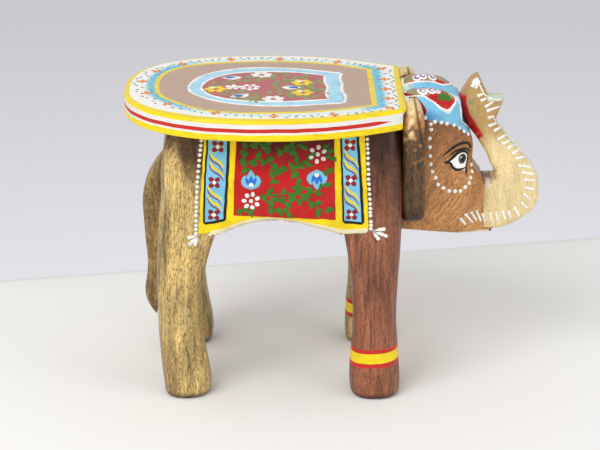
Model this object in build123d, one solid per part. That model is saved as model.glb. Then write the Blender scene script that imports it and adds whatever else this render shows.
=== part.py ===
from build123d import *

import os
from math import copysign, cos, pi, sin

# Carved elephant stool: a small painted wooden stool, its seat carried on the back of an elephant.
#
# The elephant faces +X, +Y is its left side and +Z is up. The origin lies on the floor, in the middle
# of the stool's length and width. All sizes are in millimetres.
#
# It is made as a workshop makes it: four leg posts are glued into the corners of a body block, the
# head block is glued to the front of the body, and trunk, ears and tail are glued on. Dowels pin every
# joint. The blank is then carved to one flowing form, so legs and body share their outer surface.
# The seat board lies on the flat top and is held by four screws under wooden plugs.

# ---- driving dimensions -------------------------------------------------------------------------
SEAT_LENGTH = 189.0
SEAT_WIDTH = 160.0
SEAT_THICKNESS = 14.0
SEAT_FRONT_WIDTH = 109.0  # along the straight front end
SEAT_WIDEST_AT = 102.5  # from the rear end to the widest place
SEAT_OVAL_POWER = 2.34  # 2 is an ellipse, more is squarer
SEAT_TOP_EASE = 2.0  # bevel that eases the upper edge
SEAT_BOTTOM_EASE = 1.2
SEAT_GAP = 0.3  # between the front end of the seat and the back of the head

BODY_LENGTH = 163.5
BODY_HEIGHT = 74.0
BODY_TOP_WIDTH = 104.0  # under the seat board
BODY_WIDTH = 119.0  # at the widest, half way up the flank
BODY_BOTTOM_WIDTH = 115.0
BODY_CORNER_ROUND = 13.0
RUMP_LEAN = 6.0  # how far the rump draws in at the top
ARCH_RISE = 13.0  # of the belly between front and hind legs
TUNNEL_RISE = 8.0  # of the belly between left and right legs
BELLY_BEVEL = 3.0  # along the lower edge of the flank

LEG_LENGTH = 117.0  # floor to the underside of the body
LEG_SPREAD = 97.0  # between the centre lines of the left and right legs
FRONT_LEG_SETBACK = 17.5  # centre line behind the front of the body
HIND_LEG_SETBACK = 14.0  # centre line before the rear of the body
POST_SPREAD = 56.0  # between the left and right leg posts, inside the body
FRONT_POST_LENGTH = 40.5
HIND_POST_LENGTH = 39.0
FOOT_BEVEL = 2.0

HEAD_LENGTH = 58.3  # from the joint with the body to the joint with the trunk
HEAD_WIDTH = 67.0
CHIN_DROP = 11.4  # chin below the underside of the body
THROAT_DROP = 6.5  # the same at the back of the head
CHIN_SETBACK = 17.8  # corner of the mouth behind the joint with the trunk
DOME_RISE = 18.0  # top of the two domes of the skull above the underside of the seat
DOME_SPREAD = 34.0
DOME_SETBACK = 16.5  # dome centre before the joint with the body
DOME_LENGTH = 52.0
DOME_WIDTH = 35.0
LIP_LENGTH = 27.0
LIP_WIDTH = 16.0
LIP_THICKNESS = 3.0
LIP_ROUND = 6.4  # its two front corners
MOUTH_GAP = 0.8

TRUNK_REACH = 39.0  # foremost point of the trunk before its joint
TRUNK_RISE = 109.5
TRUNK_BASE_HEIGHT = 35.3  # of the joint with the head
TRUNK_BASE_WIDTH = 26.0
TRUNK_TIP_WIDTH = 14.0
TRUNK_TAPER_FROM = 50.0  # above the chin the two sides draw in from here
TRUNK_ROUND = 3.6

EAR_THICKNESS = 13.5
EAR_HEIGHT = 83.0
EAR_LIFT = 8.0  # lowest point above the underside of the body
EAR_SPREAD = 60.0  # between the seats of the two ears on the head
EAR_REACH = 24.5
EAR_LOWER_REACH = 20.0  # it narrows a little downwards
EAR_CORNER_ROUND = 12.0  # of its outline
EAR_ROUND = 4.0  # of its edges
EAR_DISH = 3.5  # depth of the hollow

TAIL_LENGTH = 120.0
TAIL_WIDTH = 14.0
TAIL_REACH = 15.5
TAIL_ROOT_HEIGHT = 44.0
TAIL_DROP = 1.0  # root below the underside of the body
TAIL_ROUND = 3.0
TAIL_START_DIRECTION = (-0.92, -1)  # of its outline, as it leaves the top of the root
TAIL_RETURN_DIRECTION = (0.1, 1)  # and as it turns up from the tip

DOWEL_CLEARANCE = 0.1  # all round, for the glue
DOWEL_END_GAP = 1.0  # the hole is this much deeper than the dowel at each end
DOWEL_CHAMFER = 0.6
LEG_DOWEL_DIAMETER = 8.0
LEG_DOWEL_LENGTH = 32.0
HEAD_DOWEL_DIAMETER = 10.0
HEAD_DOWEL_LENGTH = 44.0
TRUNK_DOWEL_DIAMETER = 8.0
TRUNK_DOWEL_LENGTH = 26.0
EAR_DOWEL_DIAMETER = 6.0
EAR_DOWEL_LENGTH = 18.0
TAIL_DOWEL_DIAMETER = 5.0
TAIL_DOWEL_LENGTH = 16.0

SCREW_DIAMETER = 4.0
SCREW_LENGTH = 34.0
SCREW_HEAD_DIAMETER = 8.0
SCREW_HEAD_HEIGHT = 2.4
SCREW_INSET = 10.0  # from the inner face of the leg post
PLUG_DIAMETER = 9.0
PLUG_THICKNESS = 4.0

# ---- places that follow -------------------------------------------------------------------------
LEFT, RIGHT = 1, -1
HALF_LENGTH = (SEAT_LENGTH + SEAT_GAP + HEAD_LENGTH + TRUNK_REACH) / 2
SEAT_REAR_X = -HALF_LENGTH
SEAT_FRONT_X = SEAT_REAR_X + SEAT_LENGTH
SEAT_BOTTOM_Z = LEG_LENGTH + BODY_HEIGHT
SEAT_TOP_Z = SEAT_BOTTOM_Z + SEAT_THICKNESS
BODY_FRONT_X = SEAT_FRONT_X + SEAT_GAP
BODY_REAR_X = BODY_FRONT_X - BODY_LENGTH
FRONT_POST_REAR_X = BODY_FRONT_X - FRONT_POST_LENGTH
HIND_POST_FRONT_X = BODY_REAR_X + HIND_POST_LENGTH
FRONT_POST_X = BODY_FRONT_X - FRONT_POST_LENGTH / 2
HIND_POST_X = BODY_REAR_X + HIND_POST_LENGTH / 2
POST_INNER_Y = POST_SPREAD / 2
HEAD_FRONT_X = BODY_FRONT_X + HEAD_LENGTH
CHIN_X = HEAD_FRONT_X - CHIN_SETBACK
CHIN_Z = LEG_LENGTH - CHIN_DROP
CROOK_Z = CHIN_Z + TRUNK_BASE_HEIGHT
DOME_TOP_Z = SEAT_BOTTOM_Z + DOME_RISE
TRUNK_TIP_Z = CHIN_Z + TRUNK_RISE
EAR_SEAT_Y = EAR_SPREAD / 2
EAR_BOTTOM_Z = LEG_LENGTH + EAR_LIFT
BEYOND = SEAT_LENGTH  # reach of a cut that goes right through
MARGIN = 1.0  # how far a cut starts outside the wood

# Carving stations of the legs: height as a share of the leg's length, how far the section reaches
# behind, ahead, inwards and outwards of the centre line, and how square it is (2 is an ellipse).
FRONT_LEG_STATIONS = [
    (0.00, 16.5, 16.5, 15.5, 16.0, 2.3),
    (0.15, 17.6, 17.2, 16.7, 17.0, 2.3),
    (0.34, 16.1, 15.3, 16.1, 15.9, 2.3),
    (0.56, 15.4, 14.8, 16.5, 14.7, 2.4),
    (0.81, 18.3, 16.3, 17.5, 13.0, 2.6),
    (1.00, 22.0, 17.0, 19.5, 10.5, 3.2),
    (1.28, 22.0, 17.0, 19.5, 8.5, 4.0),
]
HIND_LEG_STATIONS = [
    (0.00, 13.5, 17.0, 15.5, 15.8, 2.3),
    (0.15, 15.2, 18.0, 16.5, 17.0, 2.3),
    (0.36, 17.0, 13.8, 16.0, 16.0, 2.3),
    (0.56, 17.8, 12.4, 16.5, 15.0, 2.4),
    (0.79, 17.6, 15.4, 17.5, 13.5, 2.6),
    (1.00, 16.4, 23.2, 19.5, 11.0, 3.0),
    (1.30, 13.4, 24.0, 19.5, 8.5, 3.6),
]

CHEEK_FULLNESS_SHARE = 0.98  # half way along the cheek, as a share of its width at the back
CHEEK_START_DIRECTION = (1, 0.05, 0)  # as the cheek leaves the back of the head
CHEEK_END_DIRECTION = (0.45, -1, 0)  # and as it meets the blunt front

# Levels of the head: height above the underside of the body as a share of the body's height, how far
# the forehead stands back from the joint with the trunk, and how much narrower than the full width
# each cheek is at the back. The last value is the half width of the front.
HEAD_LEVELS = [
    (-0.18, 1.8, 12.5, 9.0),
    (-0.04, -2.2, 6.5, 12.0),
    (0.15, -2.7, 2.5, 13.5),
    (0.32, -0.7, 0.5, 14.5),
    (0.50, 7.6, 0.0, 16.0),
    (0.66, 8.0, 0.0, 16.5),
    (0.82, 10.8, 0.0, 17.0),
    (1.01, 18.0, 1.0, 16.5),
    (1.15, 24.5, 6.5, 14.0),
]

# Outline of the trunk as shares of its reach and of its rise, from the chin round the front to the
# two lips and back down to the crook, and the directions in which its curves begin and end.
TRUNK_CHIN_SHARES = [(0.00, 0.000), (0.38, 0.008), (0.82, 0.095), (1.00, 0.260)]
TRUNK_FRONT_SHARES = [(1.00, 0.260), (0.77, 0.452), (0.20, 0.704)]
TRUNK_LIPS_SHARES = [(0.20, 0.704), (0.345, 0.848), (0.07, 0.854), (-0.105, 1.000)]
TRUNK_INSIDE_SHARES = [
    (-0.105, 1.000),
    (-0.300, 0.936),
    (-0.375, 0.831),
    (-0.205, 0.662),
    (0.070, 0.498),
    (0.228, 0.388),
]
TRUNK_FRONT_DIRECTIONS = [(0, 1), (-0.66, 1)]
TRUNK_INSIDE_DIRECTIONS = [(-1, -0.35), (-1, 0)]

# Outline of the tail as shares of its reach and of its length, measured back and down from the top of
# its root. Arcs that run into each other join these points.
TAIL_OUTSIDE_SHARES = [(0.00, 0.00), (0.95, 0.35), (0.80, 0.62), (0.88, 0.80), (0.40, 1.00)]
TAIL_INSIDE_SHARES = [(0.40, 1.00), (0.21, 0.80)]

# The middle and the size of the hollow in the front of an ear, as shares of its reach and height.
EAR_HOLLOW_CENTRE_SHARES = (0.52, 0.55)
EAR_HOLLOW_SIZE_SHARES = (0.72, 0.68)

LEG_DOWEL_SHARES = (0.20, 0.52)  # of the body's height
HEAD_DOWEL_SHARES = (0.28, 0.74)
EAR_DOWEL_SHARES = (0.28, 0.72)  # of the ear's height


# ---- helpers ------------------------------------------------------------------------------------
def superellipse_point(half_x, half_y, power, angle):
    """A point of |x / half_x| ** power + |y / half_y| ** power = 1."""
    c, s = cos(angle), sin(angle)
    x = half_x * copysign(abs(c) ** (2 / power), c)
    y = half_y * copysign(abs(s) ** (2 / power), s)
    return x, y


def superellipse_face(x_low, x_high, y_low, y_high, z, power, count=12):
    """A rounded outline in the plane z that fills the rectangle between four edges."""
    points = []
    for step in range(count):
        x, y = superellipse_point((x_high - x_low) / 2, (y_high - y_low) / 2, power, 2 * pi * step / count)
        points.append((x + (x_low + x_high) / 2, y + (y_low + y_high) / 2, z))
    return make_face(Spline(*points, periodic=True))


def block(x_low, x_high, y_low, y_high, z_low, z_high):
    """A box between two corners."""
    box = Box(x_high - x_low, y_high - y_low, z_high - z_low)
    return Pos((x_low + x_high) / 2, (y_low + y_high) / 2, (z_low + z_high) / 2) * box


def slab(outline, width):
    """A side outline in X and Z, given as a face in X and Y, made a solid of this width about Y = 0."""
    return Pos(0, width / 2, 0) * extrude(Plane.XZ * outline, width)


def cross_slab(outline, x_low, x_high):
    """A front outline in Y and Z, given as a face in X and Y, made a solid between two places in X."""
    return Pos(x_low, 0, 0) * extrude(Plane.YZ * outline, x_high - x_low)


def both_sides(left):
    """A left piece and its mirror image on the right."""
    return left, mirror(left, Plane.XZ)


def ellipsoid(length, width):
    """An egg-round solid along X, centred on the origin."""
    arc = EllipticalCenterArc((0, 0), length / 2, width / 2, arc_size=180)
    return revolve(make_face([arc, Line(arc @ 1, arc @ 0)]), Axis.X)


def joined_arcs(points, direction):
    """Arcs through the points, each of which starts in the direction in which the last one ended."""
    arcs = []
    for start, end in zip(points, points[1:]):
        arcs.append(TangentArc(start, end, tangent=direction))
        direction = arcs[-1] % 1
    return arcs


def rod(start, direction, diameter, length):
    """A cylinder that starts at a point and runs along a direction."""
    plane = Plane(origin=start, z_dir=direction)
    return plane * Cylinder(diameter / 2, length, align=(Align.CENTER, Align.CENTER, Align.MIN))


def dowel_and_hole(centre, direction, diameter, length):
    """A dowel centred on a glued joint, and the wider and deeper hole that takes it."""
    axis = Vector(*direction)
    middle = Vector(*centre)
    dowel = rod(middle - axis * length / 2, axis, diameter, length)
    dowel = chamfer(dowel.edges().filter_by(GeomType.CIRCLE), DOWEL_CHAMFER)
    hole_length = length + 2 * DOWEL_END_GAP
    hole = rod(middle - axis * hole_length / 2, axis, diameter + 2 * DOWEL_CLEARANCE, hole_length)
    return dowel, hole


# ---- seat board ---------------------------------------------------------------------------------
def seat_outline():
    """Half an oval at the back, and sides that draw in to a straight front end."""
    half_width = SEAT_WIDTH / 2
    widest_x = SEAT_REAR_X + SEAT_WIDEST_AT
    rear_points = []
    steps = 6
    for step in range(steps + 1):
        angle = pi - step * pi / 2 / steps
        x, y = superellipse_point(SEAT_WIDEST_AT, half_width, SEAT_OVAL_POWER, angle)
        rear_points.append((widest_x + x, y))
    rear = Spline(*rear_points, tangents=[(0, 1), (1, 0)])
    front_corner = (SEAT_FRONT_X, SEAT_FRONT_WIDTH / 2)
    draw_in = (half_width - SEAT_FRONT_WIDTH / 2) / (SEAT_FRONT_X - widest_x)
    side = Spline((widest_x, half_width), front_corner, tangents=[(1, 0), (1, -2 * draw_in)])
    end = Line(front_corner, (SEAT_FRONT_X, -SEAT_FRONT_WIDTH / 2))
    return make_face([rear, side, end, mirror(side, Plane.XZ), mirror(rear, Plane.XZ)])


def make_seat_board():
    board = Pos(0, 0, SEAT_BOTTOM_Z) * extrude(seat_outline(), SEAT_THICKNESS)
    top = board.faces().sort_by(Axis.Z)[-1]
    board = chamfer(top.outer_wire().edges(), SEAT_TOP_EASE)
    underside = board.faces().sort_by(Axis.Z)[0]
    return chamfer(underside.outer_wire().edges(), SEAT_BOTTOM_EASE)


# ---- body and legs ------------------------------------------------------------------------------
def arched_opening(low, high, rise):
    """The outline of a cut under the body: a shallow arch over a rectangle."""
    below = LEG_LENGTH - MARGIN
    arch = ThreePointArc((low, LEG_LENGTH), ((low + high) / 2, LEG_LENGTH + rise), (high, LEG_LENGTH))
    sides = Polyline((high, LEG_LENGTH), (high, below), (low, below), (low, LEG_LENGTH))
    return make_face([arch, sides])


def make_barrel():
    """The whole body before the leg posts are let in: flat on top, full flanks, an arched belly."""
    top, middle, bottom = BODY_TOP_WIDTH / 2, BODY_WIDTH / 2, BODY_BOTTOM_WIDTH / 2
    middle_z = LEG_LENGTH + BODY_HEIGHT / 2
    flank = Spline((bottom, LEG_LENGTH), (middle, middle_z), (top, SEAT_BOTTOM_Z))
    other_flank = Spline((-bottom, LEG_LENGTH), (-middle, middle_z), (-top, SEAT_BOTTOM_Z))
    back = Line(flank @ 1, other_flank @ 1)
    belly = Line(flank @ 0, other_flank @ 0)
    barrel = cross_slab(make_face([flank, back, other_flank, belly]), BODY_REAR_X, BODY_FRONT_X)
    corners = barrel.edges().filter_by(lambda e: e.bounding_box().size.Z > BODY_HEIGHT / 2)
    barrel = fillet(corners, BODY_CORNER_ROUND)

    arch = slab(arched_opening(HIND_POST_FRONT_X, FRONT_POST_REAR_X, ARCH_RISE), BEYOND)
    barrel -= arch
    flank_edges = barrel.edges().filter_by(
        lambda e: e.bounding_box().size.X > FRONT_POST_LENGTH and e.center().Z < middle_z
        and e.center().Z > LEG_LENGTH + ARCH_RISE / 4 and abs(e.center().Y) > top
    )
    barrel = chamfer(flank_edges, BELLY_BEVEL)
    tunnel = arched_opening(-POST_INNER_Y, POST_INNER_Y, TUNNEL_RISE)
    barrel -= cross_slab(tunnel, BODY_REAR_X - MARGIN, BODY_FRONT_X + MARGIN)
    top_corner = (BODY_REAR_X + RUMP_LEAN, SEAT_BOTTOM_Z)
    rump = make_face(
        [
            TangentArc((BODY_REAR_X, middle_z), top_corner, tangent=(0, 1)),
            Polyline(
                top_corner,
                (top_corner[0], SEAT_BOTTOM_Z + MARGIN),
                (BODY_REAR_X - MARGIN, SEAT_BOTTOM_Z + MARGIN),
                (BODY_REAR_X - MARGIN, middle_z),
                (BODY_REAR_X, middle_z),
            ),
        ]
    )
    return barrel - slab(rump, BEYOND)


def make_leg_form(stations, centre_x):
    """One left leg as it is carved, from the foot to a little way inside the body."""
    centre_y = LEG_SPREAD / 2
    sections = []
    for share, behind, ahead, inwards, outwards, power in stations:
        z = share * LEG_LENGTH
        edges = (centre_x - behind, centre_x + ahead, centre_y - inwards, centre_y + outwards)
        sections.append(superellipse_face(*edges, z, power))
    leg = loft(sections)
    return chamfer(leg.edges().sort_by(Axis.Z)[0], FOOT_BEVEL)


def make_body_and_legs():
    barrel = make_barrel()
    reach = SEAT_WIDTH
    front_form = make_leg_form(FRONT_LEG_STATIONS, BODY_FRONT_X - FRONT_LEG_SETBACK)
    hind_form = make_leg_form(HIND_LEG_STATIONS, BODY_REAR_X + HIND_LEG_SETBACK)
    posts = {
        "front": (front_form, FRONT_POST_REAR_X, BODY_FRONT_X + reach),
        "hind": (hind_form, BODY_REAR_X - reach, HIND_POST_FRONT_X),
    }
    head_space = block(BODY_FRONT_X, HEAD_FRONT_X, -reach, reach, CHIN_Z, SEAT_TOP_Z)
    legs = {}
    body = barrel
    for end, (form, rear_x, front_x) in posts.items():
        rebate = block(rear_x, front_x, POST_INNER_Y, reach, -MARGIN, SEAT_BOTTOM_Z)
        left = (form + (barrel & rebate)) & rebate
        left -= head_space
        legs[f"{end}_leg_left"], legs[f"{end}_leg_right"] = both_sides(left)
        for cut in both_sides(rebate):
            body -= cut
    return body, legs


# ---- head ---------------------------------------------------------------------------------------
def head_level(z, front_x, half_width, half_front):
    """A level of the head: flat at the back, full cheeks and a blunt front."""
    cheek_x = (BODY_FRONT_X + front_x) / 2
    cheek = Spline(
        (BODY_FRONT_X, half_width, z),
        (cheek_x, half_width * CHEEK_FULLNESS_SHARE, z),
        (front_x, half_front, z),
        tangents=[CHEEK_START_DIRECTION, CHEEK_END_DIRECTION],
    )
    other_cheek = mirror(cheek, Plane.XZ)
    back = Line(other_cheek @ 0, cheek @ 0)
    front = Line(cheek @ 1, other_cheek @ 1)
    return make_face([back, cheek, front, other_cheek])


def make_lower_lip():
    """The thin lower lip that hangs under the root of the trunk."""
    tip_x = CHIN_X + LIP_LENGTH
    top_z = CHIN_Z - MOUTH_GAP
    low_z = top_z - LIP_THICKNESS
    outline = make_face(
        Polyline(
            (CHIN_X - LIP_WIDTH, CHIN_Z + LIP_THICKNESS),
            (CHIN_X, CHIN_Z + LIP_THICKNESS),
            (CHIN_X + MOUTH_GAP, top_z),
            (tip_x, top_z - LIP_THICKNESS / 2),
            (tip_x, low_z),
            (CHIN_X + LIP_THICKNESS, low_z),
            close=True,
        )
    )
    lip = slab(outline, LIP_WIDTH)
    tip_edges = lip.edges().filter_by(Axis.Z).sort_by(Axis.X)[-2:]
    return fillet(tip_edges, LIP_ROUND)


def ear_housing():
    """The rebate in the left side of the head that the left ear is glued into."""
    front_x = BODY_FRONT_X + EAR_THICKNESS
    top_z = max(DOME_TOP_Z, EAR_BOTTOM_Z + EAR_HEIGHT) + MARGIN
    return block(BODY_FRONT_X - MARGIN, front_x, EAR_SEAT_Y, SEAT_WIDTH, EAR_BOTTOM_Z, top_z)


def make_head():
    levels = []
    for share, setback, narrowing, half_front in HEAD_LEVELS:
        z = LEG_LENGTH + share * BODY_HEIGHT
        levels.append(head_level(z, HEAD_FRONT_X - setback, HEAD_WIDTH / 2 - narrowing, half_front))
    head = loft(levels)
    dome = ellipsoid(DOME_LENGTH, DOME_WIDTH)
    for side in (LEFT, RIGHT):
        head += Pos(BODY_FRONT_X + DOME_SETBACK, side * DOME_SPREAD / 2, DOME_TOP_Z - DOME_WIDTH / 2) * dome
    head &= block(BODY_FRONT_X, HEAD_FRONT_X, -SEAT_WIDTH, SEAT_WIDTH, CHIN_Z, DOME_TOP_Z + MARGIN)
    throat = make_face(
        Polyline(
            (BODY_FRONT_X - MARGIN, CHIN_Z - MARGIN),
            (BODY_FRONT_X - MARGIN, LEG_LENGTH - THROAT_DROP),
            (BODY_FRONT_X, LEG_LENGTH - THROAT_DROP),
            (CHIN_X, CHIN_Z),
            (CHIN_X, CHIN_Z - MARGIN),
            close=True,
        )
    )
    head -= slab(throat, BEYOND)
    head += make_lower_lip()
    for cut in both_sides(ear_housing()):
        head -= cut
    return head


# ---- trunk --------------------------------------------------------------------------------------
def trunk_points(shares):
    return [(HEAD_FRONT_X + along * TRUNK_REACH, CHIN_Z + up * TRUNK_RISE) for along, up in shares]


def trunk_outline():
    """The raised trunk from the side, with two lips at its tip."""
    root = Line((HEAD_FRONT_X, CROOK_Z), (HEAD_FRONT_X, CHIN_Z))
    chin = Spline(*trunk_points(TRUNK_CHIN_SHARES), tangents=[(1, 0), (0, 1)])
    front = Spline(*trunk_points(TRUNK_FRONT_SHARES), tangents=TRUNK_FRONT_DIRECTIONS)
    lips = Polyline(*trunk_points(TRUNK_LIPS_SHARES))
    inside_points = [*trunk_points(TRUNK_INSIDE_SHARES), (HEAD_FRONT_X, CROOK_Z)]
    inside = Spline(*inside_points, tangents=TRUNK_INSIDE_DIRECTIONS)
    return make_face([root, chin, front, lips, inside])


def make_trunk():
    trunk = slab(trunk_outline(), TRUNK_BASE_WIDTH)
    taper_z = CHIN_Z + TRUNK_TAPER_FROM
    top_z = TRUNK_TIP_Z + MARGIN
    taper = make_face(
        Polyline(
            (TRUNK_BASE_WIDTH / 2, taper_z),
            (TRUNK_TIP_WIDTH / 2, top_z),
            (TRUNK_BASE_WIDTH, top_z),
            (TRUNK_BASE_WIDTH, taper_z),
            close=True,
        )
    )
    for cut in both_sides(cross_slab(taper, BODY_FRONT_X, TRUNK_TIP_Z)):
        trunk -= cut
    side_edges = trunk.edges().filter_by(
        lambda e: e.bounding_box().size.Y < TRUNK_BASE_WIDTH / 2 and e.bounding_box().size.X > MARGIN
    )
    return fillet(side_edges, TRUNK_ROUND)


# ---- ears and tail ------------------------------------------------------------------------------
def make_ear():
    """The left ear: a thick leaf across the head, its edge rounded and its front hollowed."""
    outline = make_face(
        Polyline(
            (EAR_SEAT_Y, EAR_BOTTOM_Z),
            (EAR_SEAT_Y + EAR_LOWER_REACH, EAR_BOTTOM_Z),
            (EAR_SEAT_Y + EAR_REACH, EAR_BOTTOM_Z + EAR_HEIGHT),
            (EAR_SEAT_Y, EAR_BOTTOM_Z + EAR_HEIGHT),
            close=True,
        )
    )
    outline = fillet(outline.vertices().sort_by(Axis.X)[-2:], EAR_CORNER_ROUND)
    front_x = BODY_FRONT_X + EAR_THICKNESS
    ear = cross_slab(outline, BODY_FRONT_X, front_x)
    middle_x = BODY_FRONT_X + EAR_THICKNESS / 2
    rounded = ear.edges().filter_by(
        lambda e: e.center().Y > EAR_SEAT_Y + MARGIN and abs(e.center().X - middle_x) > MARGIN
    )
    ear = fillet(rounded, EAR_ROUND)
    width = EAR_HOLLOW_SIZE_SHARES[0] * EAR_REACH
    hollow = Rot(0, 90, 0) * ellipsoid(EAR_HOLLOW_SIZE_SHARES[1] * EAR_HEIGHT, width)
    middle_y = EAR_SEAT_Y + EAR_HOLLOW_CENTRE_SHARES[0] * EAR_REACH
    middle_z = EAR_BOTTOM_Z + EAR_HOLLOW_CENTRE_SHARES[1] * EAR_HEIGHT
    return ear - Pos(front_x + width / 2 - EAR_DISH, middle_y, middle_z) * hollow


def make_tail():
    """The tail hangs from the rump and flicks out into its tuft."""
    top_z = LEG_LENGTH - TAIL_DROP + TAIL_ROOT_HEIGHT
    root_z = LEG_LENGTH - TAIL_DROP

    def points(shares):
        return [(BODY_REAR_X - back * TAIL_REACH, top_z - down * TAIL_LENGTH) for back, down in shares]

    outside = joined_arcs(points(TAIL_OUTSIDE_SHARES), TAIL_START_DIRECTION)
    inside = joined_arcs([*points(TAIL_INSIDE_SHARES), (BODY_REAR_X, root_z)], TAIL_RETURN_DIRECTION)
    root = Line((BODY_REAR_X, root_z), (BODY_REAR_X, top_z))
    tail = slab(make_face([*outside, *inside, root]), TAIL_WIDTH)
    rounded = tail.edges().filter_by(
        lambda e: e.center().X < BODY_REAR_X - MARGIN and abs(e.center().Y) > MARGIN
    )
    return fillet(rounded, TAIL_ROUND)


# ---- screws and plugs ---------------------------------------------------------------------------
def turned(profile):
    """A solid of revolution about Z from points of radius and height."""
    return revolve(make_face(Plane.XZ * Polyline(*profile, close=True)), Axis.Z)


def make_screw():
    """A countersunk wood screw that hangs down from the top of its head."""
    shank, head = SCREW_DIAMETER / 2, SCREW_HEAD_DIAMETER / 2
    point = SCREW_DIAMETER
    return turned(
        [(0, 0), (head, 0), (shank, -SCREW_HEAD_HEIGHT), (shank, point - SCREW_LENGTH), (0, -SCREW_LENGTH)]
    )


def make_screw_hole():
    """The hole for a screw and its plug, measured from the top of the screw's head."""
    shank = SCREW_DIAMETER / 2 + DOWEL_CLEARANCE
    head = SCREW_HEAD_DIAMETER / 2 + DOWEL_CLEARANCE
    plug = PLUG_DIAMETER / 2 + DOWEL_CLEARANCE
    depth = SCREW_LENGTH + DOWEL_END_GAP
    sink = SCREW_HEAD_HEIGHT + DOWEL_CLEARANCE
    top = PLUG_THICKNESS + MARGIN
    return turned(
        [
            (0, top),
            (plug, top),
            (plug, 0),
            (head, 0),
            (head, -DOWEL_CLEARANCE),
            (shank, -sink),
            (shank, -depth),
            (0, -depth),
        ]
    )


# ---- assembly -----------------------------------------------------------------------------------
def pin(nodes, dowel_node, joined, centre, direction, diameter, length):
    """Put a dowel across a glued joint: it goes into its node, and both joined pieces are drilled."""
    dowel, hole = dowel_and_hole(centre, direction, diameter, length)
    nodes.setdefault(dowel_node, []).append(dowel)
    for name in joined:
        nodes[name] = nodes[name] - hole


def pin_legs_and_ears(nodes):
    across = (0, 1, 0)
    for side, name in ((LEFT, "left"), (RIGHT, "right")):
        for end, post_x in (("front", FRONT_POST_X), ("hind", HIND_POST_X)):
            joined = ["body_block", f"{end}_leg_{name}"]
            for share in LEG_DOWEL_SHARES:
                centre = (post_x, side * POST_INNER_Y, LEG_LENGTH + share * BODY_HEIGHT)
                pin(nodes, f"{end}_leg_dowels", joined, centre, across, LEG_DOWEL_DIAMETER, LEG_DOWEL_LENGTH)
        joined = ["head_block", f"ear_{name}"]
        for share in EAR_DOWEL_SHARES:
            ear_x = BODY_FRONT_X + EAR_THICKNESS / 2
            centre = (ear_x, side * EAR_SEAT_Y, EAR_BOTTOM_Z + share * EAR_HEIGHT)
            pin(nodes, "ear_dowels", joined, centre, across, EAR_DOWEL_DIAMETER, EAR_DOWEL_LENGTH)


def pin_head_trunk_and_tail(nodes):
    along = (1, 0, 0)
    joined = ["body_block", "head_block"]
    for share in HEAD_DOWEL_SHARES:
        centre = (BODY_FRONT_X, 0, LEG_LENGTH + share * BODY_HEIGHT)
        pin(nodes, "head_dowels", joined, centre, along, HEAD_DOWEL_DIAMETER, HEAD_DOWEL_LENGTH)
    joined = ["head_block", "trunk"]
    centre = (HEAD_FRONT_X, 0, (CHIN_Z + CROOK_Z) / 2)
    pin(nodes, "trunk_dowel", joined, centre, along, TRUNK_DOWEL_DIAMETER, TRUNK_DOWEL_LENGTH)
    joined = ["body_block", "tail"]
    centre = (BODY_REAR_X, 0, LEG_LENGTH - TAIL_DROP + TAIL_ROOT_HEIGHT / 2)
    pin(nodes, "tail_dowel", joined, centre, along, TAIL_DOWEL_DIAMETER, TAIL_DOWEL_LENGTH)


def screw_down_seat(nodes):
    """One screw under a plug through the seat board into the top of each leg post."""
    screw = make_screw()
    hole = make_screw_hole()
    plug = Cylinder(PLUG_DIAMETER / 2, PLUG_THICKNESS, align=(Align.CENTER, Align.CENTER, Align.MIN))
    nodes["seat_screws"] = []
    nodes["seat_screw_plugs"] = []
    for side, name in ((LEFT, "left"), (RIGHT, "right")):
        for end, post_x in (("front", FRONT_POST_X), ("hind", HIND_POST_X)):
            place = Pos(post_x, side * (POST_INNER_Y + SCREW_INSET), SEAT_TOP_Z - PLUG_THICKNESS)
            nodes["seat_screws"].append(place * screw)
            nodes["seat_screw_plugs"].append(place * plug)
            for drilled in ("seat_board", f"{end}_leg_{name}"):
                nodes[drilled] = nodes[drilled] - place * hole


def make_stool():
    body, legs = make_body_and_legs()
    nodes = {"seat_board": make_seat_board(), "body_block": body, **legs}
    nodes["head_block"] = make_head()
    nodes["trunk"] = make_trunk()
    nodes["ear_left"], nodes["ear_right"] = both_sides(make_ear())
    nodes["tail"] = make_tail()
    pin_legs_and_ears(nodes)
    pin_head_trunk_and_tail(nodes)
    screw_down_seat(nodes)
    return nodes


os.makedirs("parts", exist_ok=True)
for node, shape in make_stool().items():
    if isinstance(shape, list):
        shape = Compound(children=shape)
    export_step(shape, f"parts/{node}.step")
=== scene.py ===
"""Carves, varnishes and paints the elephant stool round its construction."""

import bmesh
import bpy
import numpy as np
from bpy.props import FloatProperty, FloatVectorProperty, PointerProperty
from mathutils import Matrix, Vector


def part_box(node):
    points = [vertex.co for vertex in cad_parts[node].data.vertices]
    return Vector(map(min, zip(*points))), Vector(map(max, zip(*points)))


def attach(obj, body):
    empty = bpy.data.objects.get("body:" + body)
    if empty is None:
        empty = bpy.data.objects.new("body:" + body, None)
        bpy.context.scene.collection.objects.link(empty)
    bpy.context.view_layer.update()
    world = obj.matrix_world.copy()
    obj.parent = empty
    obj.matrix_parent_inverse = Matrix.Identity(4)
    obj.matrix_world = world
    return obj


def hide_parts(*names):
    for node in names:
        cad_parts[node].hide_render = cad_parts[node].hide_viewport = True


bl_info = {
    "name": "Carved Elephant Stool",
    "version": (1, 0, 0),
    "blender": (4, 5, 0),
    "location": "3D View > Sidebar > Stool",
    "description": "Carves, varnishes and paints a small wooden elephant stool",
    "category": "Add Mesh",
}

MM = 0.001

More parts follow.
